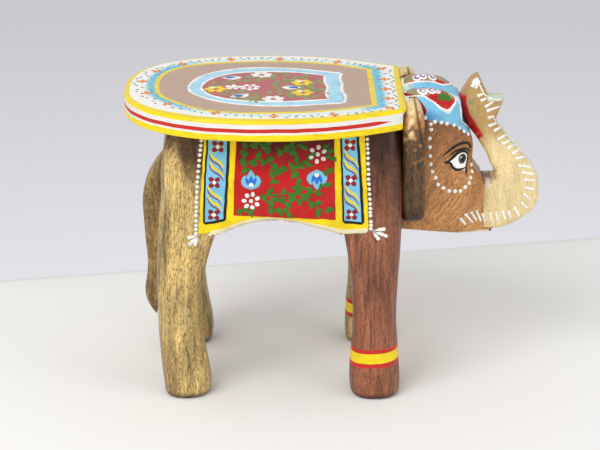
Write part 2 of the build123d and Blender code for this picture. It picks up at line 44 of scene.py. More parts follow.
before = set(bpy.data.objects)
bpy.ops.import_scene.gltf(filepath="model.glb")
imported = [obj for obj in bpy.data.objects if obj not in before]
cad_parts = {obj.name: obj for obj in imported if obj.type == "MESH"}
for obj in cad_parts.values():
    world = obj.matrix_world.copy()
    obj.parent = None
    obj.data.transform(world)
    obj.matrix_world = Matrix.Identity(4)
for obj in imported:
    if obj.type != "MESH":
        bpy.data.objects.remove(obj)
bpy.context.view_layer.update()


# ---- places taken from the construction, in millimetres -------------------------------------------
SEAT_LOW, SEAT_HIGH = (np.array(corner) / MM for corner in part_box("seat_board"))
NEAR, FAR = -1, 1  # the elephant's right and left flank
FLANKS = ((NEAR, "right"), (FAR, "left"))


# ---- colours ---------------------------------------------------------------------------------------
def srgb(code):
    """Linear colour of an sRGB hex code: (c / 12.92) below 0.04045, else ((c + 0.055) / 1.055) ** 2.4."""
    value = np.array([int(code[i : i + 2], 16) for i in (1, 3, 5)]) / 255
    linear = np.where(value <= 0.04045, value / 12.92, ((value + 0.055) / 1.055) ** 2.4)
    return tuple(float(c) for c in linear)


def opaque(colour):
    """The colour with a full alpha, as node sockets and ramp stops want it."""
    return (*colour, 1.0)


def shade(colour, factor):
    """The colour times the factor, no channel past 1."""
    return tuple(min(1.0, c * factor) for c in colour)


def colour_property(name, code, description):
    """A colour that the panel's user may change, from its sRGB hex code."""
    return FloatVectorProperty(
        name=name, description=description, default=srgb(code), size=3, subtype="COLOR", min=0, max=1
    )


def length_property(name, millimetres, description):
    """A length that the panel's user may change, given in millimetres and kept in metres."""
    return FloatProperty(
        name=name, description=description, default=millimetres * MM, subtype="DISTANCE", unit="LENGTH"
    )


class STOOL_PG_stage(bpy.types.PropertyGroup):
    """The table, the light and the view."""

    eye: FloatVectorProperty(
        name="Eye", description="Where the camera stands", default=(-0.04777, -1.60149, 0.67498),
        size=3, subtype="TRANSLATION", unit="LENGTH",
    )
    pitch: FloatProperty(
        name="Pitch", description="How far the camera looks down", default=0.342156,
        subtype="ANGLE", unit="ROTATION",
    )
    turn: FloatProperty(
        name="Turn", description="How far the camera turns from looking along +Y", default=-0.015779,
        subtype="ANGLE", unit="ROTATION",
    )
    lens: FloatProperty(name="Lens", description="Focal length", default=145.26, min=1)
    cloth: colour_property("Cloth", "#f8f7f5", "Table cloth")
    wall_high: colour_property("Upper wall", "#c9c8cd", "The wall behind the table, high up")
    wall_low: colour_property("Lower wall", "#e3e2e7", "The wall behind the table, low down")
    key_power: FloatProperty(
        name="Key light", description="Power of the large soft light", default=15.0, min=0
    )
    fill_power: FloatProperty(
        name="Fill light", description="Power of the light from the right", default=4.0, min=0
    )
    sky: FloatProperty(name="Sky", description="Strength of the light from all round", default=0.66, min=0)


class STOOL_PG_timber(bpy.types.PropertyGroup):
    """Timber and carving."""

    grid: length_property("Carving grid", 1.0, "Spacing of the points on the carved surfaces")
    tool_depth: length_property("Tool depth", 0.22, "How deep the knife leaves its hollows")
    tool_spacing: length_property("Tool spacing", 24.0, "From one hollow to the next")
    golden: colour_property("Golden timber", "#d2b674", "Hind leg and tail")
    red_brown: colour_property("Red-brown timber", "#9b6145", "Front leg")
    warm_brown: colour_property("Warm brown timber", "#d0955a", "Head")
    pale: colour_property("Pale timber", "#efd9a2", "Trunk")
    olive: colour_property("Olive timber", "#664b2a", "Ears")
    under: colour_property("Underside timber", "#7d4d36", "Body under the seat")


class STOOL_PG_enamel(bpy.types.PropertyGroup):
    """Enamel paints."""

    white: colour_property("White", "#f8f6f0", "Dots and outlines")
    yellow: colour_property("Yellow", "#f5d70a", "Borders")
    red: colour_property("Red", "#bf1216", "Field of the saddle cloth")
    sky_blue: colour_property("Sky blue", "#7cc4e6", "Columns and cap")
    blue: colour_property("Blue", "#2c6fd0", "Buds")
    green: colour_property("Green", "#3a7a1e", "Leaves")
    black: colour_property("Black", "#15120f", "Outlines and eyes")
    rose: colour_property("Rose", "#b87c6c", "Paisleys on the cap")
    aqua: colour_property("Aqua", "#c9ecea", "Pale back of the cap")
    azure: colour_property("Azure", "#4c8cc4", "Deeper lower edge of the cap")
    scarlet: colour_property("Scarlet", "#c8281e", "Leg bands and the stripe round the seat")
    mint: colour_property("Mint", "#c9dcc4", "Lip of the trunk")
    lilac: colour_property("Lilac", "#8c6fa8", "Shading of the white flowers on the cap")
    grey: colour_property("Grey", "#77777a", "Ring in the eye")
    orange: colour_property("Orange", "#eda23c", "Hearts of the small flowers")
    pink: colour_property("Pink", "#d4685c", "Petals of the small flowers")
    turquoise: colour_property("Turquoise", "#55c3c4", "Shading of the seat's border")
    teal: colour_property("Teal", "#2b6f66", "Leaf ticks of the border")
    pale_blue: colour_property("Pale blue", "#abdcf3", "Border of the shield")
    deep_red: colour_property("Deep red", "#8e1a24", "Line at the back of the cap")
    dull_red: colour_property("Dull red", "#bb5a5c", "Field of the shield")
    leaf: colour_property("Leaf green", "#8c9a62", "Leaves on the shield")
    ground: colour_property("Ground", "#bd9f8b", "Plain field of the seat")
    cream: colour_property("Cream", "#e6dcb4", "Bevel under the saddle cloth")


# ---- meshes ----------------------------------------------------------------------------------------
def put_in_scene(name, mesh):
    """A new object for the mesh, at the origin."""
    piece = bpy.data.objects.new(name, mesh)
    bpy.context.scene.collection.objects.link(piece)
    return piece


def points_of(mesh):
    """Every vertex as an (n, 3) array in millimetres."""
    values = np.empty(len(mesh.vertices) * 3, np.float32)
    mesh.vertices.foreach_get("co", values)
    return values.reshape(-1, 3).astype(float) / MM


def normals_of(mesh):
    """The normal of every vertex as an (n, 3) array."""
    values = np.empty(len(mesh.vertices) * 3, np.float32)
    mesh.vertex_normals.foreach_get("vector", values)
    return values.reshape(-1, 3).astype(float)


def set_points(mesh, points):
    """Moves every vertex to its place in an (n, 3) array in millimetres."""
    mesh.vertices.foreach_set("co", (points * MM).astype(np.float32).ravel())
    mesh.update()


def grid_quads(number, flipped=False):
    """The quads between the neighbours of a grid of numbered points; flipped, they face the other way."""
    corners = [number[:-1, :-1], number[1:, :-1], number[1:, 1:], number[:-1, 1:]]
    return np.stack(corners[::-1] if flipped else corners, -1).reshape(-1, 4)


def mesh_from_quads(name, points, quads, materials=(), slots=None):
    """A mesh from an (n, 3) array in millimetres and an (m, 4) array of corner numbers."""
    mesh = bpy.data.meshes.new(name)
    mesh.vertices.add(len(points))
    mesh.vertices.foreach_set("co", (np.asarray(points) * MM).astype(np.float32).ravel())
    mesh.loops.add(quads.size)
    mesh.loops.foreach_set("vertex_index", quads.ravel().astype(np.int32))
    mesh.polygons.add(len(quads))
    mesh.polygons.foreach_set("loop_start", np.arange(0, quads.size, 4, dtype=np.int32))
    mesh.polygons.foreach_set("use_smooth", np.ones(len(quads), bool))
    for material in materials:
        mesh.materials.append(material)
    if slots is not None:
        mesh.polygons.foreach_set("material_index", np.asarray(slots, np.int32))
    mesh.update(calc_edges=True)
    mesh.validate()
    return mesh


def merge_points(mesh, distance, outward=False):
    """Joins points that lie closer than the distance in millimetres, and may turn every face outwards."""
    form = bmesh.new()
    form.from_mesh(mesh)
    bmesh.ops.remove_doubles(form, verts=form.verts, dist=distance * MM)
    if outward:
        bmesh.ops.recalc_face_normals(form, faces=form.faces)
    form.to_mesh(mesh)
    form.free()


def set_attribute(mesh, name, values):
    """One number for each vertex, for the materials to read."""
    attribute = mesh.attributes.new(name, "FLOAT", "POINT")
    attribute.data.foreach_set("value", np.asarray(values, np.float32))


def finished_mesh(piece):
    """The piece's mesh with its modifiers applied."""
    graph = bpy.context.evaluated_depsgraph_get()
    return bpy.data.meshes.new_from_object(piece.evaluated_get(graph))


def remove_piece(piece):
    """Takes the object and its mesh out of the file."""
    mesh = piece.data
    bpy.data.objects.remove(piece)
    bpy.data.meshes.remove(mesh)


def rolling(points, spacing, seed, waves=28):
    """A smooth random field from about -1 to 1: the mean of plane waves sin(k . p + phase), whose
    directions are random and whose lengths lie round the spacing."""
    random = np.random.default_rng(seed)
    directions = random.normal(size=(waves, 3))
    directions /= np.linalg.norm(directions, axis=1, keepdims=True)
    numbers = 2 * np.pi / (spacing * random.uniform(0.75, 1.6, waves))
    phases = random.uniform(0, 2 * np.pi, waves)
    return np.sin(points @ (directions * numbers[:, None]).T + phases).sum(1) / np.sqrt(waves) / 1.4


def ramp(values, start, end):
    """0 before start, 1 after end, and smooth between: t * t * (3 - 2 t)."""
    share = np.clip((values - start) / (end - start), 0, 1)
    return share * share * (3 - 2 * share)


def outline_distance(points, outline):
    """Distance of 2-D points from an open outline: the least distance to any of its straight runs."""
    start, end = np.asarray(outline[:-1], float), np.asarray(outline[1:], float)
    run = end - start
    offset = points[:, None, :] - start[None]
    share = np.clip((offset * run).sum(2) / (run * run).sum(1), 0, 1)
    return np.linalg.norm(offset - share[..., None] * run, axis=2).min(1)


def depth_inside(points, outline):
    """Signed distance of 2-D points from a closed outline, positive inside, where a ray towards +x
    crosses the outline an odd number of times."""
    closed = np.concatenate([outline, outline[:1]])
    a, b = closed[:-1], closed[1:]
    x, y = points[:, :1], points[:, 1:]
    spans = (a[:, 1] > y) != (b[:, 1] > y)
    rise = np.where(b[:, 1] == a[:, 1], 1.0, b[:, 1] - a[:, 1])
    crossed = spans & (x < (b[:, 0] - a[:, 0]) * (y - a[:, 1]) / rise + a[:, 0])
    inside = crossed.sum(1) % 2 == 1
    return np.where(inside, 1, -1) * outline_distance(points, closed)


# ---- nodes -----------------------------------------------------------------------------------------
def add_node(tree, kind, inputs=None, stops=(), **settings):
    """One shader node. An input is a value, or another node's output that is linked to it; the stops of
    a colour ramp are pairs of a position and a linear colour."""
    node = tree.nodes.new("ShaderNode" + kind)
    for key, value in settings.items():
        setattr(node, key, value)
    for key, value in (inputs or {}).items():
        if isinstance(value, bpy.types.NodeSocket):
            tree.links.new(value, node.inputs[key])
        else:
            node.inputs[key].default_value = value
    if stops:
        elements = node.color_ramp.elements
        while len(elements) < len(stops):
            elements.new(0.5)
        for element, (position, colour) in zip(elements, stops):
            element.position = position
            element.color = opaque(colour)
    return node


def new_material(name):
    """A material with one Principled shader, its node tree and that shader."""
    material = bpy.data.materials.new(name)
    material.use_nodes = True
    tree = material.node_tree
    tree.nodes.clear()
    shader = add_node(tree, "BsdfPrincipled")
    output = add_node(tree, "OutputMaterial")
    tree.links.new(shader.outputs["BSDF"], output.inputs["Surface"])
    return material, tree, shader


def brushed_colour(tree, place, colour):
    """The colour of a brushed coat: deeper and paler in soft patches about 9 mm long."""
    broad = add_node(tree, "TexNoise", {"Vector": place, "Scale": 1 / (9 * MM), "Detail": 3.0})
    return add_node(
        tree, "ValToRGB", {"Fac": broad.outputs["Fac"]},
        stops=[(0.32, shade(colour, 0.84)), (0.5, colour), (0.68, shade(colour, 1.06))],
    ).outputs["Color"]


# Varnished mango wood, hand carved: streaks a few millimetres wide run with the grain, dark open pores
# and flecks lie in them (drawn a little coarser than real ones, so that they show), stain has gathered
# in patches, and the brushed varnish shines unevenly. A coat of paint, stain, painted shade or painted
# highlight lies over it where an attribute passes from the coat's first value to its second.
def varnished_wood(
    name, colour, grain="Z", tilt=0.0, streak=3.2, pores=0.6, speckle=0.5, contrast=1.0, gloss=0.34, coats=()
):
    material, tree, shader = new_material(name)
    place = add_node(tree, "TexCoord").outputs["Object"]
    turned = add_node(tree, "Mapping", {"Vector": place, "Rotation": (0, tilt, 0)}).outputs["Vector"]
    # each pattern's length along the grain and width across it in millimetres, then the detail,
    # roughness and distortion of its noise
    patterns = {
        "patches": (70, 24, 2.0, 0.5, 0.0),
        "streaks": (50, streak, 5.0, 0.68, 0.7),
        "pores": (4.9, 0.7, 2.0, 0.6, 0.0),
        "flecks": (2.6, 1.1, 3.0, 0.7, 0.0),
    }
    noise = {}
    for key, (length, width, detail, roughness, distortion) in patterns.items():
        scale = [1 / (width * MM)] * 3
        scale["XYZ".index(grain)] = 1 / (length * MM)
        squeezed = add_node(tree, "Mapping", {"Vector": turned, "Scale": scale}).outputs["Vector"]
        noise[key] = add_node(
            tree, "TexNoise",
            {"Vector": squeezed, "Scale": 1.0, "Detail": detail, "Roughness": roughness, "Distortion": distortion},
        ).outputs["Fac"]
    finished = add_node(
        tree, "ValToRGB", {"Fac": noise["streaks"]},
        stops=[
            (0.30, shade(colour, 1 - 0.62 * contrast)),
            (0.43, shade(colour, 1 - 0.24 * contrast)),
            (0.54, colour),
            (0.70, shade(colour, 1 + 0.42 * contrast)),
        ],
    ).outputs["Color"]
    # how strongly each pattern shows, and the shares of red, green and blue that it leaves
    layers = [
        (
            "patches", 0.8 * min(1.0, contrast + 0.1),
            [(0.36, (0.66, 0.58, 0.52)), (0.52, (1.0, 1.0, 1.0)), (0.70, (1.12, 1.06, 0.94))],
        ),
        ("pores", pores, [(0.37, (0.30, 0.24, 0.20)), (0.50, (1.0, 1.0, 1.0))]),
        ("flecks", speckle, [(0.36, (0.34, 0.27, 0.22)), (0.47, (0.96, 0.95, 0.94)), (0.66, (1.22, 1.2, 1.14))]),
    ]
    for key, strength, stops in layers:
        tone = add_node(tree, "ValToRGB", {"Fac": noise[key]}, stops=stops).outputs["Color"]
        finished = add_node(
            tree, "Mix", {"Factor": strength, 6: finished, 7: tone}, data_type="RGBA", blend_type="MULTIPLY"
        ).outputs[2]
    # a noise of 3.5 mm makes each coat's edge ragged; a soft coat comes in a little later than a crisp
    # one, so that no speck of it shows where its attribute is 0
    ragged = add_node(tree, "TexNoise", {"Vector": place, "Scale": 1 / (3.5 * MM), "Detail": 2.0})
    for field, start, end, coat, how in coats:
        value = add_node(tree, "Attribute", attribute_name=field).outputs["Fac"]
        crisp = end - start < 0.5
        edge = 0.5 if crisp else 0.4
        shaken = add_node(tree, "Math", {0: ragged.outputs["Fac"], 1: edge, 2: value}, operation="MULTIPLY_ADD")
        share = add_node(
            tree, "MapRange",
            {
                "Value": shaken.outputs[0],
                "From Min": start + (edge / 2 if crisp else 0.8 * edge), "From Max": end + edge / 2,
            },
            interpolation_type="SMOOTHSTEP",
        ).outputs["Result"]
        over = brushed_colour(tree, place, coat) if how == "MIX" else opaque(coat)
        finished = add_node(
            tree, "Mix", {"Factor": share, 6: finished, 7: over}, data_type="RGBA", blend_type=how
        ).outputs[2]
    tree.links.new(finished, shader.inputs["Base Color"])
    sheen = add_node(
        tree, "MapRange",
        {
            "Value": noise["patches"], "From Min": 0.3, "From Max": 0.7,
            "To Min": gloss - 0.07, "To Max": gloss + 0.1,
        },
    )
    tree.links.new(sheen.outputs["Result"], shader.inputs["Roughness"])
    relief = add_node(tree, "Bump", {"Height": noise["streaks"], "Strength": 0.4, "Distance": 0.3 * MM})
    tree.links.new(relief.outputs["Normal"], shader.inputs["Normal"])
    shader.inputs["IOR"].default_value = 1.5
    shader.inputs["Specular IOR Level"].default_value = 0.4
    return material


# Gloss enamel laid on with a small brush: even in colour, with faint brush ridges that catch the light.
# Where the shade attribute is high, painted shade leaves only some of its red, green and blue; the saddle cloth has it
# under the seat.
def brushed_enamel(name, colour):
    material, tree, shader = new_material(name)
    place = add_node(tree, "TexCoord").outputs["Object"]
    soot = add_node(tree, "Attribute", attribute_name="soot").outputs["Fac"]
    dulled = add_node(
        tree, "Mix", {"Factor": soot, 6: brushed_colour(tree, place, colour), 7: opaque((0.17, 0.14, 0.16))},
        data_type="RGBA", blend_type="MULTIPLY",
    )
    tree.links.new(dulled.outputs[2], shader.inputs["Base Color"])
    ridges = add_node(tree, "TexNoise", {"Vector": place, "Scale": 1 / (1.6 * MM), "Detail": 2.0})
    relief = add_node(tree, "Bump", {"Height": ridges.outputs["Fac"], "Strength": 0.3, "Distance": 0.1 * MM})
    tree.links.new(relief.outputs["Normal"], shader.inputs["Normal"])
    shader.inputs["Roughness"].default_value = 0.28
    shader.inputs["IOR"].default_value = 1.5
    shader.inputs["Specular IOR Level"].default_value = 0.3
    return material


# Zinc-plated screw steel: grey metal with a fine mottle from the plating bath.
def zinc_plated_steel(name, colour):
    material, tree, shader = new_material(name)
    place = add_node(tree, "TexCoord").outputs["Object"]
    mottle = add_node(tree, "TexNoise", {"Vector": place, "Scale": 1 / (0.8 * MM), "Detail": 2.0})
    tint = add_node(
        tree, "ValToRGB", {"Fac": mottle.outputs["Fac"]}, stops=[(0.3, shade(colour, 0.8)), (0.7, colour)]
    )
    tree.links.new(tint.outputs["Color"], shader.inputs["Base Color"])
    shader.inputs["Metallic"].default_value = 1.0
    shader.inputs["Roughness"].default_value = 0.35
    return material


# The painted board: brushed gloss enamel over a smooth ground. "rim" and "line" are distances in
# millimetres past the two yellow lines on its top, "blue" is how blue the band between them is, and
# "corner" is how far in millimetres the red stripe round the edge narrows from above and from below.
def painted_board(name, enamel):
    material, tree, shader = new_material(name)
    place = add_node(tree, "TexCoord").outputs["Object"]
    height = add_node(tree, "SeparateXYZ", {"Vector": place}).outputs["Z"]
    scale = (1 / (22 * MM), 1 / (3 * MM), 1 / (3 * MM))
    stretched = add_node(tree, "Mapping", {"Vector": place, "Scale": scale}).outputs["Vector"]
    streaks = add_node(tree, "TexNoise", {"Vector": stretched, "Scale": 1.0, "Detail": 3.0}).outputs["Fac"]
    shake = add_node(tree, "TexNoise", {"Vector": place, "Scale": 1 / (14 * MM), "Detail": 1.0}).outputs["Fac"]
    # each paint, and how much deeper and paler it is along the brush's streaks
    white = tuple(enamel.white)
    paints = {
        "yellow": (tuple(enamel.yellow), 0.84, 1.06),
        "white": (white, 0.93, 1.0),
        "dull_white": (shade(white, 0.86), 0.93, 1.03),
        "sky_blue": (tuple(enamel.sky_blue), 0.84, 1.06),
        "turquoise": (tuple(enamel.turquoise), 0.84, 1.06),
        "aqua": (tuple(enamel.aqua), 0.84, 1.06),
        "scarlet": (tuple(enamel.scarlet), 0.84, 1.06),
        "ground": (tuple(enamel.ground), 0.94, 1.04),
    }
    coat = {
        key: add_node(
            tree, "ValToRGB", {"Fac": streaks},
            stops=[(0.30, shade(colour, deeper)), (0.5, colour), (0.7, shade(colour, paler))],
        ).outputs["Color"]
        for key, (colour, deeper, paler) in paints.items()
    }

    def laid_over(below, above, value, edge, softness=0.12):
        """What lies below, covered by what lies above where the value is past the edge."""
        share = add_node(
            tree, "MapRange", {"Value": value, "From Min": edge - softness, "From Max": edge + softness},
            interpolation_type="SMOOTHSTEP",
        ).outputs["Result"]
        return add_node(tree, "Mix", {"Factor": share, 6: below, 7: above}, data_type="RGBA").outputs[2]

    rim, line, tint, corner = (
        add_node(tree, "Attribute", attribute_name=field).outputs["Fac"]
        for field in ("rim", "line", "blue", "corner")
    )
    # depth under the top, in millimetres
    depth = add_node(
        tree, "Math", {0: height, 1: -1 / MM, 2: SEAT_HIGH[2]}, operation="MULTIPLY_ADD"
    ).outputs[0]
    # the hand wavers by up to half of these millimetres to either side
    rim, line, depth = (
        add_node(tree, "Math", {0: shake, 1: amount, 2: value}, operation="MULTIPLY_ADD").outputs[0]
        for value, amount in ((rim, 0.9), (line, 0.8), (depth, 0.9))
    )
    # the band on the top: white at its outer side, blue towards the inner yellow line
    sky = laid_over(coat["sky_blue"], coat["turquoise"], streaks, 0.56, 0.08)
    blue = laid_over(coat["aqua"], sky, tint, 0.7, 0.2)
    shading = add_node(
        tree, "MapRange", {"Value": line, "From Min": -9.0, "From Max": -2.5}, interpolation_type="SMOOTHSTEP"
    ).outputs["Result"]
    strength = add_node(tree, "Math", {0: shading, 1: tint}, operation="MULTIPLY").outputs[0]
    band = add_node(tree, "Mix", {"Factor": strength, 6: coat["white"], 7: blue}, data_type="RGBA").outputs[2]
    top = laid_over(coat["yellow"], band, rim, 0.45)
    top = laid_over(top, coat["yellow"], line, 0.4)
    top = laid_over(top, coat["ground"], line, 4.0)
    # the stripes round the edge, each from its depth in millimetres downwards
    from_above = add_node(tree, "Math", {0: depth, 1: corner}, operation="SUBTRACT").outputs[0]
    from_below = add_node(tree, "Math", {0: depth, 1: corner}, operation="ADD").outputs[0]
    side = coat["yellow"]
    for key, value, start in (
        ("dull_white", depth, 2.5),
        ("scarlet", from_above, 5.6),
        ("dull_white", from_below, 8.3),
        ("yellow", depth, 9.8),
    ):
        side = laid_over(side, coat[key], value, start)
    finished = laid_over(side, top, height, (SEAT_HIGH[2] - 1.0) * MM, 0.3 * MM)
    tree.links.new(finished, shader.inputs["Base Color"])
    relief = add_node(tree, "Bump", {"Height": streaks, "Strength": 0.35, "Distance": 0.12 * MM})
    tree.links.new(relief.outputs["Normal"], shader.inputs["Normal"])
    shader.inputs["Roughness"].default_value = 0.3
    shader.inputs["Specular IOR Level"].default_value = 0.3
    return material


MATERIALS = {}

# Painted shade and stains that darken the wood: the shares of red, green and blue that they leave.
# The first is painted shade on the legs and body and the tail's darker tone; the next three are
# painted shade on the head, on the trunk and in the crook; the last darkens the ears.
LEG_SHADE_AND_STAIN = (0.16, 0.11, 0.09)
HEAD_SHADE = (0.5, 0.42, 0.38)
TRUNK_SHADE = (0.62, 0.48, 0.34)
CROOK_SHADE = (0.34, 0.25, 0.26)
EAR_DARKENING = (0.22, 0.15, 0.10)
HIGHLIGHT_ON_TRUNK = srgb("#efdfda")  # a painted highlight: a paler place on the trunk, which covers the wood


def make_materials():
    """Every enamel, and the timbers with the coats that lie on them: the attribute that a coat follows,
    the values between which it comes in, its colour, and whether it covers or darkens."""
    timber = bpy.context.scene.stool_timber
    enamel = bpy.context.scene.stool_enamel

    def paint(key):
        return tuple(getattr(enamel, key))

    def tone(key):
        return tuple(getattr(timber, key))

    for key in STOOL_PG_enamel.__annotations__:
        MATERIALS[key] = brushed_enamel(key + "_enamel", paint(key))
    # painted shade on the legs and body, and the tail's darker tone
    soot = ("stain", 0.0, 1.0, LEG_SHADE_AND_STAIN, "MULTIPLY")
    bands = [("band", 0.0, 0.2, paint("scarlet"), "MIX"), ("band", 3.0, 3.2, paint("yellow"), "MIX")]
    golden = {"pores": 0.5, "speckle": 0.85, "contrast": 1.3, "streak": 4.6}
    MATERIALS["golden"] = varnished_wood("golden_mango_wood", tone("golden"), coats=[soot], **golden)
    MATERIALS["golden_banded"] = varnished_wood(
        "golden_mango_wood_banded", tone("golden"), coats=[soot, *bands], **golden
    )
    MATERIALS["red_brown_banded"] = varnished_wood(
        "red_brown_mango_wood", tone("red_brown"), streak=3.0, pores=0.45, speckle=0.5, contrast=1.15,
        coats=[soot, *bands],
    )
    MATERIALS["head"] = varnished_wood(
        "warm_brown_mango_wood", tone("warm_brown"), tilt=-0.6, streak=1.7, contrast=0.85, speckle=0.5,
        coats=[
            # painted shade on the wood, with the painted cap over it
            ("dusk", 0.0, 1.0, HEAD_SHADE, "MULTIPLY"),
            ("lip", 0.0, 0.4, tone("pale"), "MIX"),
            ("cap", 0.0, 0.3, paint("sky_blue"), "MIX"),
            ("cap_deep", 0.0, 1.0, paint("azure"), "MIX"),
            ("cap_pale", 0.0, 1.0, paint("aqua"), "MIX"),
            ("paisley", 0.0, 0.2, paint("rose"), "MIX"),
            ("paisley_red", 0.0, 0.2, paint("red"), "MIX"),
            ("paisley_line", 0.0, 0.2, paint("white"), "MIX"),
        ],
    )
    MATERIALS["trunk"] = varnished_wood(
        "pale_sapwood", tone("pale"), streak=4.0, contrast=0.28, pores=0.12, speckle=0.25,
        coats=[
            # painted shade higher up, painted shade in the crook, a painted highlight, then red and green paint
            ("dusk", 0.0, 1.0, TRUNK_SHADE, "MULTIPLY"),
            ("shadow", 0.0, 1.0, CROOK_SHADE, "MULTIPLY"),
            ("blush", 0.0, 1.0, HIGHLIGHT_ON_TRUNK, "MIX"),
            ("red", 0.0, 1.0, paint("red"), "MIX"),
            ("pale_green", 0.0, 1.0, paint("mint"), "MIX"),
        ],
    )
    MATERIALS["ear"] = varnished_wood(
        "olive_stained_wood", tone("olive"), streak=1.8, contrast=1.1, speckle=1.0,
        coats=[
            ("golden", 0.0, 1.0, shade(tone("warm_brown"), 0.95), "MIX"),
            # pale timber on the far ear and the near ear's crown, and a painted highlight on the near ear's bulge
            ("pale", 0.0, 1.0, tone("pale"), "MIX"),
            ("stain", 0.0, 1.0, EAR_DARKENING, "MULTIPLY"),
        ],
    )
    MATERIALS["body"] = varnished_wood("body_mango_wood", tone("under"), grain="X", coats=[soot])
    MATERIALS["board"] = painted_board("painted_board", enamel)


# ---- carving ---------------------------------------------------------------------------------------
def carved_copy(name, node, spacing, material, fields, reshape=None, smooth_above=None):
    """The node's form as one even grid of points, softened as rasps and sandpaper leave it, with the
    knife's shallow hollows: each point moves along its normal by depth * rolling(point). The fields are
    a function that gives the attributes its coats follow."""
    timber = bpy.context.scene.stool_timber
    rough = put_in_scene(name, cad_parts[node].data.copy())
    merge_points(rough.data, 0.01)
    remesh = rough.modifiers.new("even_grid", "REMESH")
    remesh.mode = "VOXEL"
    remesh.voxel_size = spacing
    evened = put_in_scene(name, finished_mesh(rough))
    remove_piece(rough)
    soften = evened.modifiers.new("rasped", "SMOOTH")
    soften.factor = 0.5
    soften.iterations = 4
    if smooth_above:
        # more smoothing from this height up, coming in over 10 mm
        upper = evened.vertex_groups.new(name="upper")
        for level in range(1, 11):
            high = points_of(evened.data)[:, 2] > smooth_above + level
            upper.add(np.flatnonzero(high).tolist(), level / 10, "REPLACE")
        blend = evened.modifiers.new("blended", "SMOOTH")
        blend.factor = 0.5
        blend.iterations = 45
        blend.vertex_group = "upper"
    mesh = finished_mesh(evened)
    remove_piece(evened)
    mesh.name = name
    points = points_of(mesh)
    hollows = rolling(points, timber.tool_spacing / MM, seed=3) * timber.tool_depth / MM
    points = points + normals_of(mesh) * hollows[:, None]
    if reshape is not None:
        points = reshape(points)
    set_points(mesh, points)
    for field, values in fields(points, normals_of(mesh)).items():
        set_attribute(mesh, field, values)
    mesh.polygons.foreach_set("use_smooth", np.ones(len(mesh.polygons), bool))
    mesh.materials.clear()
    mesh.materials.append(MATERIALS[material])
    piece = put_in_scene(name, mesh)
    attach(piece, "root")
    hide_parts(node)
    return piece


def pushed(points, centre, radius, shift):
    """Points near a place in side view move by the shift, less with distance: exp(-(d / radius) ** 2)."""
    away = np.linalg.norm(points[:, [0, 2]] - np.array(centre, float), axis=1)
    return points + np.exp(-((away / radius) ** 2))[:, None] * np.array(shift, float)


